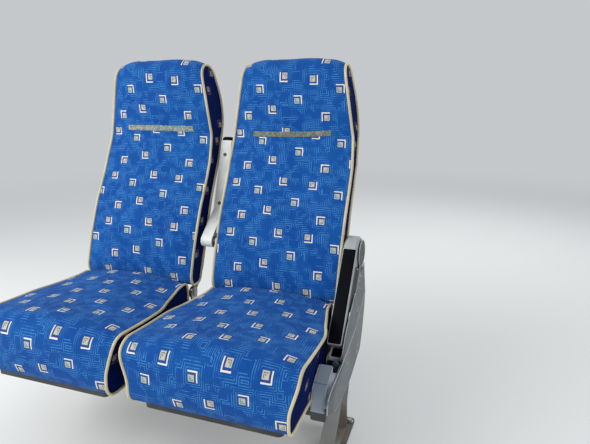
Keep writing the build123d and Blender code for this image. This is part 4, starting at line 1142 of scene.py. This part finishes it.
def edge_bead(depth, corners, r, width):
    """Rounded moulded edge along a side outline in millimetres, at one depth or one for each point."""
    corners = np.asarray(corners, float) / 1000
    corners = np.column_stack((np.zeros(len(corners)) + depth, corners))
    at = np.linspace(0, run_along(corners)[-1], 120)
    path = smoothed(corners, at, r) + (0.0, crease, 0.0)
    return round_bar(path, width, (1, 0, 0), count=10, sizes=rounded_ends(path, width, width, 0.003, 0.003))


ridge_line = [(110, 404), (65, 383), (31, 369), (-20, 341), (-131, 319), (-165, 308), (-205, 298),
              (-245, 289), (-281, 271), (-288, 248), (-285, 226)]
ridge_depth = [0.0372] * 5 + [0.0366, 0.0350, 0.0320, 0.0292, 0.0288, 0.0288]
foot_line = [(-258, 226), (-226, 212), (-89, 207), (-44, 214), (11, 231), (53, 241), (80, 289), (106, 363)]
top_line = [(52.5, 486.8), (28, 450), (-12, 433), (-116, 360), (-158, 302)]
# Beads on the panel's ridge, foot and top edges, pale as a painted highlight.
panel_beads = [
    edge_bead(ridge_depth, ridge_line, 0.008, 0.0030),
    edge_bead(0.0369, foot_line, 0.008, 0.0026),
    edge_bead(0.0296, top_line, 0.006, 0.0024),
]
make("panel_edges", panel_beads, edge_highlight_grey, "underframe")

# The panel's cheek fills the corner under the hub, and its front turns in behind the folded armrest
cheek = np.array([(41, 493), (48, 508), (53, 505), (57, 501), (62, 497), (60, 480), (34, 446), (-8, 425),
                  (-16, 417.5), (-6, 430), (9, 450), (24, 470)]) / 1000
cheek = evened(cheek, 120, 2)
middle = cheek.mean(0)
rings = []
for x, share in ((0.0284, 0.97), (0.0288, 1.0), (0.0302, 1.0), (0.0307, 0.97)):
    flat = middle + (cheek - middle) * share
    rings.append(np.column_stack((np.full(120, x), crease + flat[:, 0], flat[:, 1])))
down, across = np.meshgrid(np.linspace(-0.05, 1.3, 44), np.linspace(-0.006, 0.0300, 16), indexing="ij")
turned_in_y = crease + 0.0415 - 0.0575 * down - 0.10 * (0.0300 - across) ** 2
turned_in = np.stack((across, turned_in_y, 0.4925 - 0.0755 * down), -1)
cheek_back = slab(turned_in, turned_in + (0, 0.0016, -0.0012))
make("panel_cheek", [stacked(np.array(rings)), cheek_back], panel_grey, "underframe")

# Console: nose, tray and socket
# A blue-grey rounded nose with a cut line, the dark tray behind it and a square socket below the armrest.
# A small dark lever stands in the slot between them.
nose_grey = hard_finish(
    "nose_grey", (138, 151, 167), (140, 148, 156), 0.4, grain=800.0, lift=0.2, patches=20.0
)
from_side = parts_of(own_place(nose_grey.node_tree))[0]
painted_over(nose_grey, (176, 182, 188), ramped(from_side, 0.0176, 0.0184))
# The socket's grey is set very pale: painted light, to make up for the shade it sits in under the armrest.
socket_grey = hard_finish("socket_grey", (226, 230, 234), (196, 200, 206), 0.45, grain=900.0)
socket_way = unit(np.array([0.0, -52.0, -24.0]))
socket_out = np.array([0.0, socket_way[2], -socket_way[1]])
mouth_middle = np.array([0.003, crease - 0.114, 0.288]) - socket_way * 0.0215
# Below its mouth the socket's walls are painted dark: painted shade deep in the recess.
off_mouth = vectors("SUBTRACT", own_place(socket_grey.node_tree), tuple(mouth_middle))
above = vectors("DOT_PRODUCT", off_mouth, tuple(socket_out), out="Value")
painted_over(socket_grey, (40, 43, 48), maths("SUBTRACT", 1.0, ramped(above, -0.0062, -0.0050)))
tray_black = hard_finish("tray_black", (22, 22, 24), (50, 50, 50), 0.6)
dress(nose_grey, "console_nose")
dress(socket_grey, "console_socket")
dress(tray_black, "console_tray")
nose_edge = [(-192, 312), (-236, 296), (-256, 282), (-268, 258), (-274, 236)]
# The nose's edge beads carry the same painted highlight.
nose_beads = [edge_bead(0.0176, nose_edge, 0.006, 0.0026), edge_bead(-0.0176, nose_edge, 0.006, 0.0022)]
make("nose_edges", nose_beads, edge_highlight_grey, "underframe")
cut_at = nodes["console_nose"].closest_point_on_mesh((0.0, crease - 0.246, 0.289))[1]
cut_y, cut_z = cut_at.y + 0.0002, cut_at.z - 0.0003
cut_path = np.linspace((-0.0182, cut_y, cut_z), (0.0182, cut_y, cut_z), 12)
make("nose_cut", [round_bar(cut_path, 0.0013, (0, 0, 1), count=8)], tray_black, "underframe")


def at_mouth(section, rise):
    """Ring round the socket's mouth: the section's axes lie across and along it, at a rise above it."""
    return mouth_middle + socket_out * rise + section[:, :1] * (1.0, 0.0, 0.0) + section[:, 1:] * socket_way


# Dark lining down the socket's walls: painted shade, a sheet put where the socket is only in shadow.
shade_lining = [(0.0138, 0.0153, -0.0274), (0.0138, 0.0153, 0.0), (0.0138, 0.0153, 0.0003), (0.0128, 0.0143, 0.0003),
         (0.0126, 0.0141, -0.0005), (0.0124, 0.0139, -0.0255), (0.0120, 0.0135, -0.0262)]
shade_lining = [at_mouth(ring_section(2 * half_x, 2 * half_y, 12.0, 32), rise) for half_x, half_y, rise in shade_lining]
make("socket_shade_lining", [stacked(np.array(shade_lining))], tray_black, "underframe")
rim_path = at_mouth(ring_section(0.0335, 0.0368, 9.0, 72), 0.0006)
rim = carried(rim_path, ring_section(0.0030, 0.0052, 3.0, 12), socket_out, True)
make("socket_rim", [rim], socket_grey, "underframe")
lever_z = np.concatenate((np.linspace(0.2392, 0.270, 6), np.linspace(0.273, 0.309, 24)))
lever_path = np.column_stack((np.full(30, 0.0165), crease - 0.148 - 0.20 * (lever_z - 0.2392), lever_z))
leaf_z = [0.239, 0.268, 0.276, 0.290, 0.299, 0.305, 0.309]
leaf = np.interp(lever_z, leaf_z, [0.26, 0.26, 0.36, 0.86, 1.0, 0.85, 0.3])
leaf_sizes = np.column_stack((leaf, 0.6 + 0.4 * leaf))
lever = carried(lever_path, ring_section(0.020, 0.0050, 2.6, 20), (1, 0, 0), sizes=leaf_sizes)
lever_grey = hard_finish("lever_grey", (82, 88, 96), (110, 114, 120), 0.45, grain=900.0)
make("slot_lever", [lever], lever_grey, "underframe")

# Footrests
# A pale ribbed sleeve on a bar between two steel arms that hang from lugs under the rear tube.
# Black rubber caps close the bar's ends.
sleeve_pale = hard_finish("sleeve_pale", (188, 188, 182), (132, 126, 114), 0.5, grain=900.0, patches=26.0)
dress(frame_paint, *both("footrest_arms"))
rest_cap = [(0.0098, -0.0016), (0.0135, -0.0010), (0.0156, 0.0014), (0.0157, 0.0095), (0.0152, 0.0105)]
for seat in seats:
    body = f"footrest_{seat}"
    lo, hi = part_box(f"footrest_bar_{seat}")
    rest_y, rest_z, length = (lo.y + hi.y) / 2, (lo.z + hi.z) / 2, hi.x - lo.x
    outline = [(0.0092, 0.0), (0.0100, 0.0010), (0.0100, 0.0085)]
    for rib in np.arange(0.012, length - 0.012, 0.0052):
        outline += [(0.0093, rib), (0.0101, rib + 0.0012), (0.0101, rib + 0.0030), (0.0093, rib + 0.0042)]
    outline += [(0.0100, length - 0.0070), (0.0100, length - 0.0010), (0.0092, length)]
    sleeve = turned((lo.x, rest_y, rest_z), (1, 0, 0), outline, 28)
    sleeve = make(f"footrest_sleeve_{seat}", [sleeve], sleeve_pale, body)
    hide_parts(f"footrest_bar_{seat}")
    arms_lo, arms_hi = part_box(f"footrest_arms_{seat}")
    ends = ((arms_lo.x, 1.0), (arms_hi.x, -1.0))
    caps = [turned((x, rest_y, rest_z), (way, 0, 0), rest_cap) for x, way in ends]
    make(f"footrest_caps_{seat}", caps, piping_black, body)

# Floor and light
# A plain pale floor, one broad soft lamp on the window side, one on the aisle side and an even sky.
# Far off, the floor goes over into the backdrop's colour.
floor_mesh = bpy.data.meshes.new("floor")
floor_mesh.from_pydata([(-20, -20, 0), (20, -20, 0), (20, 20, 0), (-20, 20, 0)], [], [(0, 1, 2, 3)])
floor = bpy.data.objects.new("floor", floor_mesh)
scene.collection.objects.link(floor)
floor_paint, tree, shader = new_finish("floor")
floor_mesh.materials.append(floor_paint)
fed(tree, shader, {"Base Color": tint(232, 232, 230), "Roughness": 0.9})
backdrop_tint = tint(196, 199, 202)


def seen_directly(tree):
    """1 for rays from the camera and in reflections."""
    rays = node(tree, "ShaderNodeLightPath", {}, "Is Camera Ray")
    return maths("MAXIMUM", rays, rays.node.outputs["Is Glossy Ray"])


away = vectors("LENGTH", own_place(tree), out="Value")
fade = maths("MULTIPLY", ramped(away, 1.2, 6.5), seen_directly(tree))
far_floor = node(tree, "ShaderNodeEmission", {"Color": backdrop_tint, "Strength": 1.0})
blended = node(tree, "ShaderNodeMixShader", {0: fade, 1: shader.outputs[0], 2: far_floor})
tree.links.new(blended, tree.nodes["Material Output"].inputs["Surface"])
for name, place, aim, power, size in (
    ("window_side_lamp", (-2.7, -1.7, 2.1), (-0.4, 0.1, 0.7), 92.0, 2.4),
    ("aisle_side_lamp", (2.4, -2.4, 2.2), (-0.4, 0.1, 0.5), 34.0, 2.2),
    ("rear_lamp", (0.6, 2.8, 2.6), (-0.4, 0.2, 0.7), 40.0, 2.4),
):
    lamp = bpy.data.lights.new(name, "AREA")
    lamp.energy = power
    lamp.size = size
    holder = bpy.data.objects.new(name, lamp)
    holder.location = place
    holder.rotation_euler = (Vector(aim) - Vector(place)).to_track_quat("-Z", "Y").to_euler()
    scene.collection.objects.link(holder)
sky = bpy.data.worlds.new("sky")
scene.world = sky
sky.use_nodes = True
tree = sky.node_tree
background = fed(tree, tree.nodes["Background"], {"Color": (0.84, 0.89, 0.94, 1.0), "Strength": 0.56})
seen = node(tree, "ShaderNodeBackground", {"Color": backdrop_tint, "Strength": 1.0})
choice = node(tree, "ShaderNodeMixShader", {0: seen_directly(tree), 1: background.outputs[0], 2: seen})
tree.links.new(choice, tree.nodes["World Output"].inputs["Surface"])
